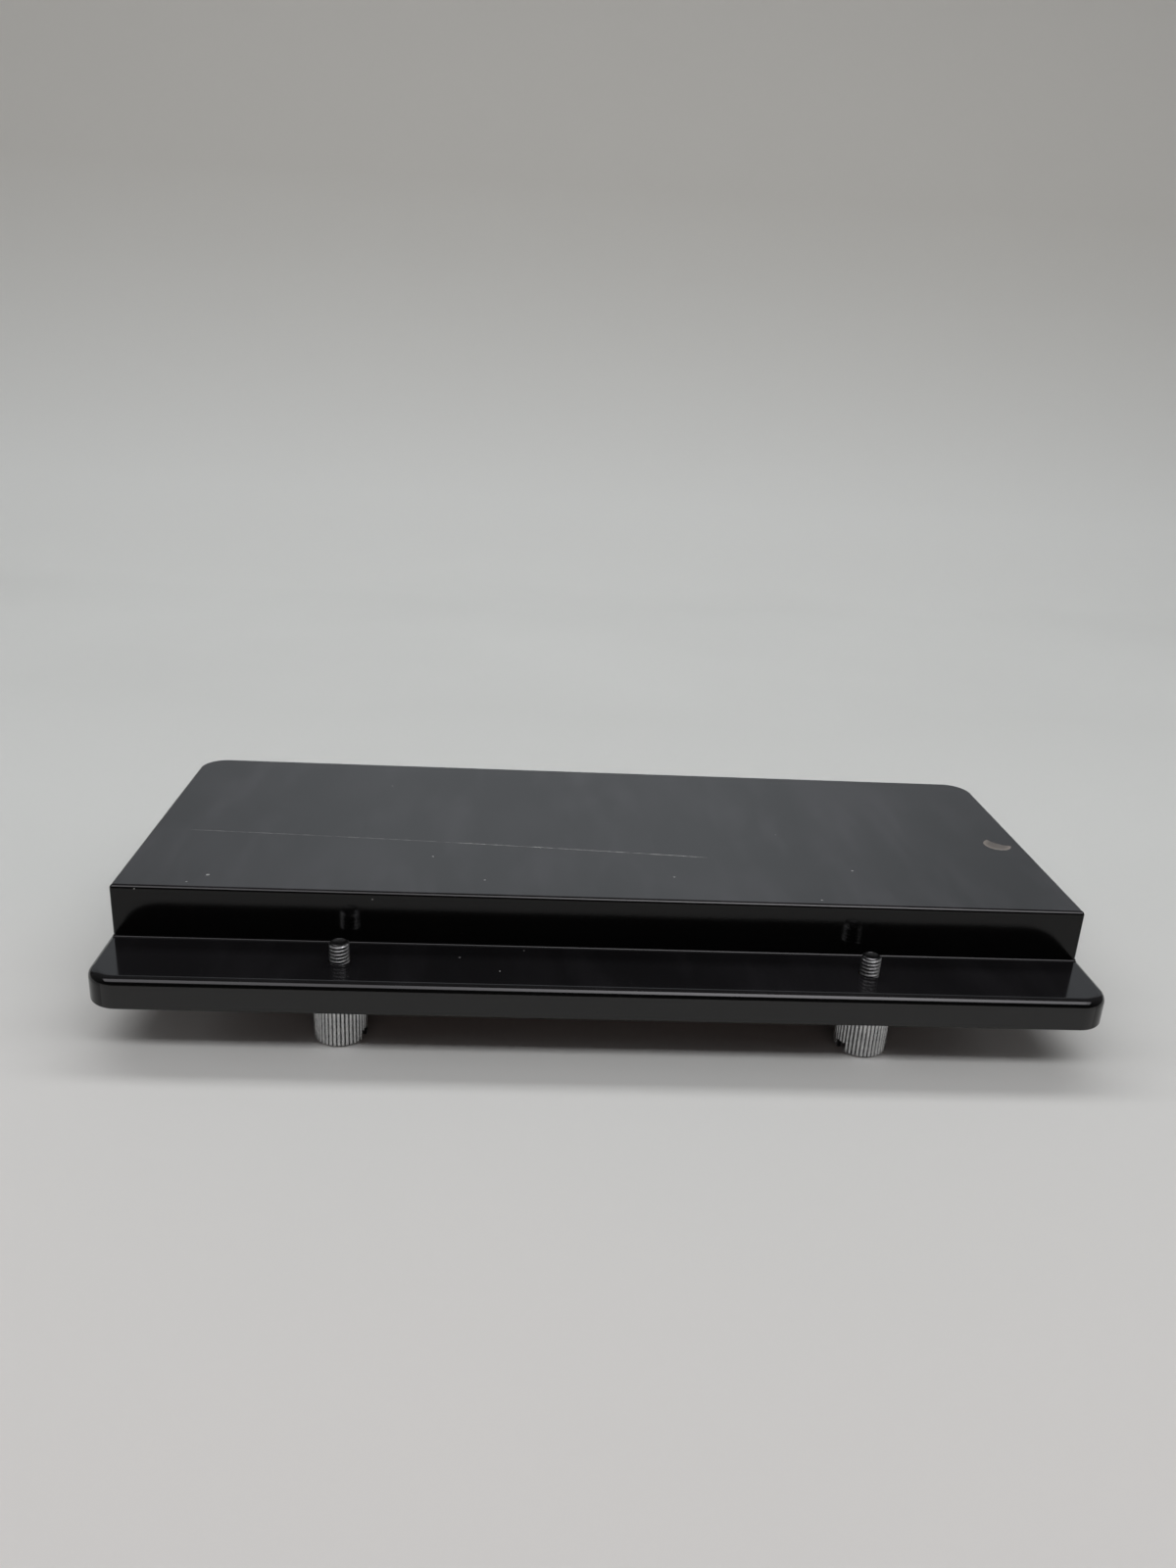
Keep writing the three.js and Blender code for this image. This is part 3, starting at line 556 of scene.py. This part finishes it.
def roller_hub(node):
    """Dished hub with five lightening holes through its web."""
    low, high = box(node)
    x, z = (low.x + high.x) / 2, (low.z + high.z) / 2
    outer = (high.x - low.x) / 2
    rim, web, collar, bore = outer - 1.5, 2.2, 2.9, 1.65
    hub = turned([
        (bore, low.y), (collar, low.y), (collar + 0.2, low.y + web), (rim - 0.3, low.y + web),
        (rim, low.y), (outer - 0.2, low.y), (outer, low.y + 0.2), (outer, high.y - 0.2),
        (outer - 0.2, high.y), (rim, high.y), (rim - 0.3, high.y - web),
        (collar + 0.2, high.y - web), (collar, high.y), (bore, high.y),
    ], (x, 0, z), "Y", 64, hollow=True)
    count, ring_radius = 5, 4.55
    holes = []
    for k in range(count):
        angle = 2 * math.pi * k / count
        holes.append(bar(x + ring_radius * math.cos(angle), z + ring_radius * math.sin(angle),
                         low.y, high.y, 1.0))
    return cut(hub, *holes)


def rear_socket():
    """Power socket flush in the back wall, with a chamfered mouth and four contact pins."""
    low, high = box("rear_socket")
    depth = 13.3
    foot = box("control_board")[1].z + GAP
    body = slab((low.x, high.x, high.y - depth, high.y), (0.3, 0.3), foot, high.z, 0.2, 0.3, 3)
    add(body, slab((low.x, high.x, high.y - WALL, high.y), (0.2, 0.3),
                   low.z, high.z - 0.4, 0.2, 0.0, 3))
    mouth_low, mouth_high = high.z - 6.6, high.z - 1.4
    rings = []
    for grow, y in ((0.0, high.y - 7), (0.0, high.y - 0.5), (0.8, high.y + 0.3)):
        area = (-7.5 - grow, 7.5 + grow, mouth_low - grow, mouth_high + grow)
        rings.append([(x, y, z) for x, z in outline(area, (0.8 + grow, 0.8 + grow), steps=5)])
    cut(body, stacked(rings))
    pins = [slab((x - 0.4, x + 0.4, high.y - 8, high.y - 6.2), (0.15, 0.15),
                 high.z - 4.4, high.z - 3.6, 0.15, 0.15, 3) for x in (-4.5, -1.5, 1.5, 4.5)]
    return add(body, *pins)


def motor_lead(side, sign):
    """Twin insulated lead along the CAD lead's route, two round sleeves side by side."""
    motor = centre(f"motor_shaft_{side}")
    roller = centre(f"roller_shaft_{side}")
    start = box(f"brush_cap_{side}")[1].y + GAP
    board_high = box("control_board")[1]
    middle = (pan_low.y + pan_high.y) / 2
    half_board = board_high.x
    out, along = abs(motor.x), abs(roller.x)
    # From the brush cap up and over the roller's shaft to the board, for the right side
    route = [
        (out, start, motor.z), (out - 1, start + 2, motor.z + 1), (out - 6, start + 2.5, 17),
        (along + 6, middle + 3, 20.5), (along, middle + 1, 20.8), (along - 7, middle, 19),
        (half_board + 1, middle - 1, 15.5), (half_board - 3.5, middle - 1, board_high.z + 1.1),
    ]
    points = [Vector((sign * x, y, z)) for x, y, z in route]
    path = []
    for k in range(len(points) - 1):
        around = [points[max(0, min(len(points) - 1, k + d))] for d in (-1, 0, 1, 2)]
        for step in range(8):
            path.append(catmull_rom(*around, step / 8))
    path.append(points[-1])
    sleeve_radius, spacing = 0.6, 0.62
    sleeves = []
    for offset in (-spacing, spacing):
        rings = []
        for k, p in enumerate(path):
            ahead, behind = path[min(k + 1, len(path) - 1)], path[max(k - 1, 0)]
            tangent = (ahead - behind).normalized()
            across = tangent.cross(Vector((0, 0, 1)))
            if across.length < 0.2:
                across = Vector((0, 1, 0))
            across.normalize()
            up = across.cross(tangent).normalized()
            ring = []
            for j in range(12):
                angle = 2 * math.pi * j / 12
                aside = across * (offset + sleeve_radius * math.cos(angle))
                ring.append(p + aside + up * sleeve_radius * math.sin(angle))
            rings.append([tuple(v) for v in ring])
        sleeves.append(stacked(rings))
    return add(sleeves[0], sleeves[1])


def catmull_rom(a, b, c, d, t):
    """Point at share t of a smooth curve's stretch from b to c."""
    return 0.5 * (2 * b + (c - a) * t + (2 * a - 5 * b + 4 * c - d) * t ** 2
                  + (3 * b - a - 3 * c + d) * t ** 3)


# Materials
class Surface:
    """Material with a Principled shader and helpers that add nodes to it."""

    def __init__(self, name, **constants):
        self.material = bpy.data.materials.new(name)
        self.material.use_nodes = True
        self.tree = self.material.node_tree
        self.shader = self.tree.nodes["Principled BSDF"]
        for socket, value in constants.items():
            self.shader.inputs[socket.replace("_", " ")].default_value = value
        texture_coordinates = self.add_node("ShaderNodeTexCoord")
        to_mm = self.add_node("ShaderNodeVectorMath", operation="SCALE")
        to_mm.inputs["Scale"].default_value = 1 / MM
        self.link(texture_coordinates.outputs["Object"], to_mm.inputs[0])
        self.place = to_mm.outputs[0]

    def add_node(self, kind, **settings):
        node = self.tree.nodes.new(kind)
        for key, value in settings.items():
            setattr(node, key, value)
        return node

    def link(self, source, target):
        self.tree.links.new(source, target)

    def feed(self, target, value):
        """Sets an input to a value, or links it if the value is another node's output."""
        if isinstance(value, bpy.types.NodeSocket):
            self.link(value, target)
        else:
            target.default_value = value

    def math(self, operation, a, b=0.0, c=0.0):
        node = self.add_node("ShaderNodeMath", operation=operation)
        for target, value in zip(node.inputs, (a, b, c)):
            self.feed(target, value)
        return node.outputs[0]

    def stretched(self, stretch):
        node = self.add_node("ShaderNodeVectorMath", operation="MULTIPLY")
        self.link(self.place, node.inputs[0])
        node.inputs[1].default_value = stretch
        return node.outputs[0]

    def noise(self, per_mm, detail=3.0, stretch=(1.0, 1.0, 1.0), distortion=0.0):
        node = self.add_node("ShaderNodeTexNoise")
        self.link(self.stretched(stretch), node.inputs["Vector"])
        node.inputs["Scale"].default_value = per_mm
        node.inputs["Detail"].default_value = detail
        node.inputs["Distortion"].default_value = distortion
        return node.outputs["Fac"]

    def specks(self, per_mm, size):
        """Scattered dots: 1 inside a dot of that radius in cells, 0 outside."""
        node = self.add_node("ShaderNodeTexVoronoi")
        self.link(self.place, node.inputs["Vector"])
        node.inputs["Scale"].default_value = per_mm
        return self.ranged(node.outputs["Distance"], size, size * 0.5, 0.0, 1.0)

    def ranged(self, value, from_low, from_high, to_low, to_high):
        node = self.add_node("ShaderNodeMapRange", clamp=True)
        for target, entry in zip(node.inputs, (value, from_low, from_high, to_low, to_high)):
            self.feed(target, entry)
        return node.outputs[0]

    def mix(self, share, first, second):
        node = self.add_node("ShaderNodeMix", data_type="RGBA")
        self.feed(node.inputs["Factor"], share)
        self.feed(node.inputs[6], first)
        self.feed(node.inputs[7], second)
        return node.outputs[2]

    def coordinates(self):
        node = self.add_node("ShaderNodeSeparateXYZ")
        self.link(self.place, node.inputs[0])
        return node.outputs

    def normal_z(self):
        """1 on faces that look straight up, 0 on upright ones, -1 on those that look down."""
        geometry = self.add_node("ShaderNodeNewGeometry")
        split = self.add_node("ShaderNodeSeparateXYZ")
        self.link(geometry.outputs["Normal"], split.inputs[0])
        return split.outputs[2]

    def bump(self, height, depth_mm):
        node = self.add_node("ShaderNodeBump")
        node.inputs["Distance"].default_value = depth_mm * MM
        self.link(height, node.inputs["Height"])
        self.link(node.outputs[0], self.shader.inputs["Normal"])

    def colour(self, value):
        self.feed(self.shader.inputs["Base Color"], value)

    def roughness(self, value):
        self.feed(self.shader.inputs["Roughness"], value)


def grey(value, warmth=0.0):
    return (value * (1 + warmth), value, value * (1 - warmth), 1.0)


def worn(name, dark, light, rough, per_mm, depth_mm=0.006, **constants):
    """Material whose colour and roughness wander between two values, over a fine bump."""
    surface = Surface(name, **constants)
    broad = surface.noise(per_mm * 0.12, 4.0)
    fine = surface.noise(per_mm, 3.0)
    surface.colour(surface.mix(surface.ranged(broad, 0.35, 0.65, 0.0, 1.0), dark, light))
    surface.roughness(surface.ranged(fine, 0.3, 0.7, rough[0], rough[1]))
    surface.bump(fine, depth_mm)
    return surface.material


def gloss_black(name, specular_level):
    """Polished black moulding with smudges, specks, one long scratch and one chip whose tan colour
    holds a painted highlight.
    """
    surface = Surface(name, IOR=1.5, Specular_IOR_Level=specular_level)
    x, y, z = surface.coordinates()
    upward = surface.ranged(surface.normal_z(), 0.6, 0.95, 0.0, 1.0)

    def both(first, second):
        return surface.math("MULTIPLY", first, second)

    def from_circle(u, v, centre_u, centre_v, radius, wobble=0.0):
        """Distance in millimetres outside a circle in two coordinates."""
        du = surface.math("SUBTRACT", u, centre_u)
        dv = surface.math("SUBTRACT", v, centre_v)
        away = surface.math("SQRT", surface.math("MULTIPLY_ADD", du, du, both(dv, dv)))
        off = surface.math("SUBTRACT", away, radius)
        if wobble:
            ragged = surface.ranged(surface.noise(1.3, 2.0), 0.3, 0.7, -wobble, wobble)
            off = surface.math("ADD", off, ragged)
        return off

    smudge = surface.ranged(surface.noise(0.03, 4.0, (1.0, 0.5, 1.0), 0.6), 0.45, 0.7, 0.0, 1.0)
    streak = surface.ranged(surface.noise(0.11, 3.0, (1.0, 0.25, 1.0), 0.3), 0.5, 0.72, 0.0, 1.0)
    on_box = surface.ranged(z, LIP_TOP + 1, BOX_TOP - 1, 0.25, 1.0)
    haze = both(both(surface.math("ADD", smudge, streak), on_box), upward)

    # Long thin scratch across the top, a shallow curve in x, strongest in its right half
    curve = surface.math("MULTIPLY_ADD", both(x, x), SCRATCH_BEND, SCRATCH_Y)
    line = surface.math("MULTIPLY_ADD", x, SCRATCH_SLOPE, curve)
    off_line = surface.math("ABSOLUTE", surface.math("SUBTRACT", y, line))
    beads = surface.noise(0.5, 3.0)
    width = surface.ranged(beads, 0.35, 0.65, 0.09, 0.26)
    groove = surface.ranged(surface.math("DIVIDE", off_line, width), 1.0, 0.3, 0.0, 1.0)
    ends = both(surface.ranged(x, -95.0, -88.0, 0.0, 1.0),
                surface.ranged(x, 24.0, 22.0, 0.0, 1.0))
    strength = both(surface.ranged(x, -36.0, -30.0, 0.42, 1.0),
                    surface.ranged(beads, 0.35, 0.6, 0.5, 1.0))
    scratch = both(both(both(groove, ends), strength), upward)

    # Crescent chip near the right edge: inside one circle and outside another. Its tan colour is
    # painted lighter towards the first circle's rim, a painted highlight where the chip's wall
    # would catch light
    ragged_mm = 0.12
    inner = surface.ranged(from_circle(x, y, *CHIP_CIRCLE, ragged_mm),
                           ragged_mm, -ragged_mm, 0.0, 1.0)
    bite = surface.ranged(from_circle(x, y, *BITE_CIRCLE, ragged_mm),
                          -ragged_mm, ragged_mm, 0.0, 1.0)
    chip = both(both(inner, bite), upward)
    # Painted highlight: the chip's tan turns lighter near the rim of the first circle
    lit = surface.ranged(from_circle(x, y, *CHIP_CIRCLE), -1.2, -0.2, 0.0, 1.0)
    chip_tan_and_painted_highlight = surface.mix(lit, (0.11, 0.1, 0.092, 1.0), (0.2, 0.18, 0.163, 1.0))

    # Specks: a few on the top and the lip's top, two high on the front wall
    specks = both(surface.specks(0.07, 0.025), upward)
    for speck_x, speck_y, radius in TOP_SPECKS:
        dot = surface.ranged(from_circle(x, y, speck_x, speck_y, radius), 0.0, -0.12, 0.0, 1.0)
        specks = surface.math("MAXIMUM", specks, both(dot, upward))
    for speck_x, speck_z, radius in WALL_SPECKS:
        dot = surface.ranged(from_circle(x, z, speck_x, speck_z, radius), 0.0, -0.12, 0.0, 1.0)
        on_wall = surface.ranged(surface.math("ABSOLUTE", surface.math("SUBTRACT", y, BOX_FRONT)),
                                 0.3, 0.2, 0.0, 1.0)
        specks = surface.math("MAXIMUM", specks, both(dot, on_wall))

    # A thin grey film lies on what faces up, thicker in the smudges
    settled = surface.math("MULTIPLY_ADD", haze, 0.55, surface.math("MULTIPLY", upward, 0.24))
    film = surface.mix(settled, grey(0.002), (0.022, 0.0208, 0.0236, 1.0))
    speckled = surface.mix(specks, film, grey(0.24))
    scratched = surface.mix(surface.math("MULTIPLY", scratch, 0.85), speckled, grey(0.3))
    surface.colour(surface.mix(chip, scratched, chip_tan_and_painted_highlight))
    rough = surface.math("MULTIPLY_ADD", haze, 0.03, surface.ranged(upward, 0.0, 1.0, 0.12, 0.1))
    rough = surface.math("MULTIPLY_ADD", scratch, 0.35, rough)
    surface.roughness(surface.math("MULTIPLY_ADD", chip, 0.5, rough))
    ripple = surface.noise(0.05, 2.0)
    height = surface.math("MULTIPLY_ADD", surface.math("ADD", scratch, chip), -0.6, ripple)
    surface.bump(height, 0.03)
    return surface.material


def satin_steel():
    """Machined steel with fine turning lines, and painted shade in the valleys of the knurled head
    and of the thread.
    """
    surface = Surface("satin_steel", Metallic=1.0)
    x, y, _ = surface.coordinates()
    squares = surface.math("MULTIPLY_ADD", x, x, surface.math("MULTIPLY", y, y))
    radius = surface.math("SQRT", squares)
    flat = surface.ranged(surface.math("ABSOLUTE", surface.normal_z()), 0.3, 0.5, 0.0, 1.0)
    # Painted shade: shares of the plain steel colour, low in the knurl's valleys and the thread's
    # roots
    inside_head = surface.ranged(radius, HEAD_RADIUS - 1.2, HEAD_RADIUS - 1.3, 0.0, 1.0)
    knurl_unshaded_share = surface.ranged(radius, HEAD_RADIUS - RIB_DEPTH * 0.9, HEAD_RADIUS - 0.06, 0.3, 1.0)
    knurl_unshaded_share = surface.math("MAXIMUM", surface.math("MAXIMUM", knurl_unshaded_share, inside_head), flat)
    thread = surface.ranged(radius, THREAD_RADIUS - 0.4, THREAD_RADIUS - 0.12, 0.12, 1.0)
    lines = surface.noise(9.0, 3.0, (1.0, 1.0, 0.12))
    broad = surface.noise(0.5, 3.0)
    steel = surface.mix(surface.ranged(broad, 0.35, 0.65, 0.0, 1.0),
                        (0.58, 0.585, 0.59, 1.0), (0.72, 0.72, 0.715, 1.0))
    # Painted shade: near-black grey where those shares are low, plain steel elsewhere
    surface.colour(surface.mix(surface.math("MULTIPLY", knurl_unshaded_share, thread), grey(0.03), steel))
    surface.roughness(surface.ranged(lines, 0.3, 0.7, 0.22, 0.34))
    surface.bump(lines, 0.003)
    return surface.material


def pan_plastic():
    """Spark-eroded matt moulding."""
    surface = Surface("matt_black", IOR=1.5)
    grain = surface.noise(3.2, 5.0)
    broad = surface.noise(0.06, 4.0)
    surface.colour(surface.mix(surface.ranged(broad, 0.4, 0.65, 0.0, 1.0),
                               grey(0.011), grey(0.017)))
    surface.roughness(surface.ranged(grain, 0.35, 0.65, 0.42, 0.6))
    surface.bump(grain, 0.03)
    return surface.material


def tyre_rubber():
    surface = Surface("tyre_rubber", IOR=1.45)
    grain = surface.noise(5.0, 4.0)
    broad = surface.noise(0.3, 4.0)
    surface.colour(surface.mix(surface.ranged(broad, 0.35, 0.65, 0.0, 1.0),
                               grey(0.085, 0.02), grey(0.14, 0.03)))
    surface.roughness(surface.ranged(grain, 0.3, 0.7, 0.7, 0.92))
    surface.bump(grain, 0.02)
    return surface.material


def board_laminate():
    """Green solder mask over copper runs on a square grid."""
    surface = Surface("board_laminate", IOR=1.5)
    brick = surface.add_node("ShaderNodeTexBrick")
    surface.link(surface.place, brick.inputs["Vector"])
    brick.inputs["Scale"].default_value = 0.45
    brick.inputs["Mortar Size"].default_value = 0.06
    runs = brick.outputs["Fac"]
    surface.colour(surface.mix(runs, (0.008, 0.075, 0.03, 1.0), (0.03, 0.14, 0.06, 1.0)))
    surface.roughness(surface.ranged(surface.noise(1.2), 0.3, 0.7, 0.25, 0.4))
    surface.bump(runs, 0.03)
    return surface.material


def make_materials():
    return {
        "housing_plastic": gloss_black("gloss_black", 0.27),
        "pan_plastic": pan_plastic(),
        "satin_steel": satin_steel(),
        "dark_steel": worn("dark_steel", grey(0.13), grey(0.2), (0.3, 0.45), 4.0, 0.004,
                           Metallic=1.0),
        "brass": worn("brass", (0.5, 0.33, 0.12, 1.0), (0.62, 0.44, 0.18, 1.0),
                      (0.25, 0.42), 3.0, 0.004, Metallic=1.0),
        "bronze": worn("bronze", (0.34, 0.18, 0.08, 1.0), (0.46, 0.26, 0.12, 1.0),
                       (0.38, 0.55), 5.0, 0.012, Metallic=1.0),
        "nylon": worn("nylon", grey(0.6, 0.03), grey(0.7, 0.02), (0.4, 0.55), 2.0,
                      Subsurface_Weight=0.15),
        "acetal": worn("acetal", grey(0.62, 0.01), grey(0.72, 0.01), (0.3, 0.42), 1.5,
                       Subsurface_Weight=0.1),
        "tyre_rubber": tyre_rubber(),
        "nickel": worn("nickel", grey(0.46, 0.03), grey(0.58, 0.03), (0.18, 0.3), 3.0, 0.003,
                       Metallic=1.0),
        "board_laminate": board_laminate(),
        "black_moulding": worn("black_moulding", grey(0.01), grey(0.018), (0.4, 0.55), 3.0,
                               0.012),
        "capacitor_can": worn("capacitor_can", grey(0.55), grey(0.66), (0.25, 0.38), 2.0,
                              0.004, Metallic=1.0),
        "lead_sleeve": worn("lead_sleeve", (0.2, 0.012, 0.01, 1.0), (0.3, 0.02, 0.014, 1.0),
                            (0.35, 0.5), 1.0, 0.01),
    }


def node_slots():
    """Material slot of every CAD node, from the record."""
    return {entry["node"]: entry["material_slot"] for entry in frame["record"]["subparts"]}


# Stage, light and camera
def stage_sweep():
    """Pale floor that curves up into a back wall, painted paler far back and darker up the wall as
    painted light and shade.
    """
    half_width, front, bend, radius, top = 1500.0, -1700.0, 410.0, 190.0, 700.0
    section = [(front, 0.0), (bend, 0.0)]
    section += [(bend + radius * math.sin(a), radius * (1 - math.cos(a)))
                for a in (math.radians(90 * k / 32) for k in range(1, 33))]
    section.append((bend + radius, top))
    points = [(x, y, z) for y, z in section for x in (-half_width, half_width)]
    faces = [(2 * k, 2 * k + 1, 2 * k + 3, 2 * k + 2) for k in range(len(section) - 1)]
    mesh = bpy.data.meshes.new("floor")
    mesh.from_pydata([[MM * c for c in p] for p in points], [], faces)
    mesh.shade_smooth()
    floor = bpy.data.objects.new("floor", mesh)
    bpy.context.scene.collection.objects.link(floor)
    surface = Surface("paper", IOR=1.4, Specular_IOR_Level=0.15)
    _, y, z = surface.coordinates()
    depth = surface.math("ADD", y, surface.ranged(surface.noise(0.006, 3.0), 0.3, 0.7, -30.0, 30.0))
    warm, cool = (0.69, 0.678, 0.668, 1.0), (0.642, 0.654, 0.646, 1.0)
    # pale is painted light on the far floor, dim is painted shade high on the wall
    pale, dim = (0.77, 0.785, 0.777, 1.0), (0.575, 0.566, 0.543, 1.0)
    # Near floor warmer, a little farther back cooler
    floor_colour_with_painted_light = surface.mix(surface.ranged(depth, -140.0, 40.0, 0.0, 1.0), warm, cool)
    # Painted light: the floor from 190 to 440 mm back turns paler
    floor_colour_with_painted_light = surface.mix(surface.ranged(depth, 190.0, 440.0, 0.0, 1.0), floor_colour_with_painted_light, pale)
    # Painted shade: the wall darkens from 40 to 230 mm up
    surface.colour(surface.mix(surface.ranged(z, 40.0, 230.0, 0.0, 1.0), floor_colour_with_painted_light, dim))
    surface.roughness(surface.ranged(surface.noise(0.5), 0.3, 0.7, 0.7, 0.85))
    mesh.materials.append(surface.material)


def area_light(name, place, size, power, colour=(1.0, 1.0, 1.0)):
    """Rectangular light, long in X, that faces the object and that no reflection shows."""
    data = bpy.data.lights.new(name, "AREA")
    data.shape = "RECTANGLE"
    data.size, data.size_y = size
    data.energy = power
    data.color = colour
    light = bpy.data.objects.new(name, data)
    light.location = place
    light.rotation_euler = (-light.location).to_track_quat("-Z", "Y").to_euler()
    light.visible_glossy = False
    bpy.context.scene.collection.objects.link(light)


def mirror_card(name, corners, colour):
    """Glowing rectangle that only reflections show; returns its surface, with no glow set yet."""
    mesh = bpy.data.meshes.new(name)
    mesh.from_pydata([[MM * c for c in p] for p in corners], [], [(0, 1, 2, 3)])
    card = bpy.data.objects.new(name, mesh)
    bpy.context.scene.collection.objects.link(card)
    card.visible_camera = False
    card.visible_diffuse = False
    card.visible_shadow = False
    surface = Surface(f"{name}_glow", Emission_Color=colour, Roughness=1.0)
    surface.colour(grey(0.0))
    mesh.materials.append(surface.material)
    return surface


def mirror_cards():
    """One card before the back wall, brighter higher up, and one above and in front."""
    half_width, back, low, high = 900.0, 500.0, 120.0, 600.0
    surface = mirror_card("back_card", [(-half_width, back, low), (half_width, back, low),
                                        (half_width, back, high), (-half_width, back, high)],
                          (0.95, 1.0, 1.05, 1.0))
    x, _, z = surface.coordinates()
    aside = surface.ranged(surface.math("ABSOLUTE", x), 110.0, 340.0, 0.98, 0.59)
    rise = surface.ranged(z, 190.0, 275.0, 0.575, 0.86)
    surface.feed(surface.shader.inputs["Emission Strength"], surface.math("MULTIPLY", rise, aside))

    half_width, reach = 650.0, 650.0
    lip_y, brightest_x = -45.0, 190.0
    low, high = math.radians(46), math.radians(80)
    low_y, low_z = lip_y - reach * math.cos(low), reach * math.sin(low)
    high_y, high_z = lip_y - reach * math.cos(high), reach * math.sin(high)
    surface = mirror_card("front_card", [(-half_width, low_y, low_z), (half_width, low_y, low_z),
                                         (half_width, high_y, high_z),
                                         (-half_width, high_y, high_z)],
                          (1.0, 0.98, 1.02, 1.0))
    x = surface.coordinates()[0]
    off_bright = surface.math("ABSOLUTE", surface.math("SUBTRACT", x, brightest_x))
    surface.feed(surface.shader.inputs["Emission Strength"],
                 surface.ranged(off_bright, 60.0, 300.0, 7.5, 3.6))


def lighting():
    """Two overhead strips, three weak fills, two mirror cards and a dim pale surround."""
    reach = 0.68
    for name, elevation_degrees, behind in (("front_strip", 62, -1), ("back_strip", 67, 1)):
        elevation = math.radians(elevation_degrees)
        place = (0.0, behind * reach * math.cos(elevation), reach * math.sin(elevation))
        area_light(name, place, (1.3, 0.145), 2.48)
    area_light("front_fill", (0.0, -0.9, 0.3), (1.2, 0.5), 0.45, (1.0, 0.72, 0.66))
    for name, side in (("left_fill", -1), ("right_fill", 1)):
        area_light(name, (side * 0.9, -0.1, 0.28), (0.4, 0.3), 0.9)
    mirror_cards()
    world = bpy.data.worlds.new("world")
    world.use_nodes = True
    tree = world.node_tree
    direction = tree.nodes.new("ShaderNodeTexCoord")
    split = tree.nodes.new("ShaderNodeSeparateXYZ")
    towards_back = tree.nodes.new("ShaderNodeMapRange")
    tree.links.new(direction.outputs["Generated"], split.inputs[0])
    tree.links.new(split.outputs[1], towards_back.inputs[0])
    for socket, value in zip(towards_back.inputs[1:5], (-0.7, -0.2, 0.03, 0.14)):
        socket.default_value = value
    background = tree.nodes["Background"]
    background.inputs["Color"].default_value = (1.0, 1.0, 1.0, 1.0)
    tree.links.new(towards_back.outputs[0], background.inputs["Strength"])
    bpy.context.scene.world = world


def camera():
    """Camera in front of the lip, a little above it, looking down along the deck."""
    data = bpy.data.cameras.new("camera")
    data.lens = 27.24
    data.sensor_width = 36.0
    data.clip_start = 0.01
    obj = bpy.data.objects.new("camera", data)
    pitch, yaw, roll = (math.radians(a) for a in (20.506, 3.570, 3.186))
    forward = Vector((math.cos(pitch) * math.sin(yaw), math.cos(pitch) * math.cos(yaw),
                      -math.sin(pitch)))
    level_right = forward.cross(Vector((0, 0, 1))).normalized()
    level_up = level_right.cross(forward)
    right = level_right * math.cos(roll) + level_up * math.sin(roll)
    up = right.cross(forward)
    turn = Matrix((right, up, -forward)).transposed()
    obj.matrix_world = Matrix.Translation((-0.0195, -0.25156, 0.13731)) @ turn.to_4x4()
    bpy.context.scene.collection.objects.link(obj)
    bpy.context.scene.camera = obj


materials = make_materials()
slots = node_slots()
for node_name, node in frame["nodes"].items():
    node.data.materials.clear()
    node.data.materials.append(materials[slots[node_name]])

camera()
lighting()
stage_sweep()
bpy.context.scene.view_settings.view_transform = "Standard"


def dress(piece, body, *nodes):
    """Gives a finished piece its name, body and the material of the slot of the CAD node it stands
    for.
    """
    slot = slots[nodes[0]]
    return place_piece(piece, f"{nodes[0]}_skin", body, slot, materials[slot], *nodes)


def polish_lip(shell):
    """Gives the lip's front face a glossier finish than the worn faces."""
    shell.data.materials.append(gloss_black("gloss_black_lip_face", 0.5))
    for face in shell.data.polygons:
        if face.center.y < (FRONT + LIP_EDGE_ROUND) * MM and face.normal.y < -0.9:
            face.material_index = 1


dress(housing_shell(), "root", "housing_shell")
polish_lip(bpy.data.objects["housing_shell_skin"])
dress(feed_pan(), "root", "feed_pan")
dress(rear_socket(), "root", "rear_socket")
for node_name in PAN_SCREWS:
    dress(pan_screw(box(node_name)), "root", node_name)
for side, sign in SIDES.items():
    screw = thumbscrew()
    x, y, _ = screw_place(side)
    bottom = box(f"thumbscrew_{side}")[0].z
    screw.location = (x * MM, y * MM, bottom * MM)
    screw.rotation_euler.z = math.radians(SCREW_TURN_DEGREES[side])
    dress(screw, f"{side}_thumbscrew", f"thumbscrew_{side}")
    dress(motor_lead(side, sign), "root", f"motor_lead_{side}")
    for row in ROWS:
        dress(feed_tyre(f"feed_tyre_{side}_{row}"), f"{side}_roller", f"feed_tyre_{side}_{row}")
        dress(roller_hub(f"roller_hub_{side}_{row}"), f"{side}_roller", f"roller_hub_{side}_{row}")
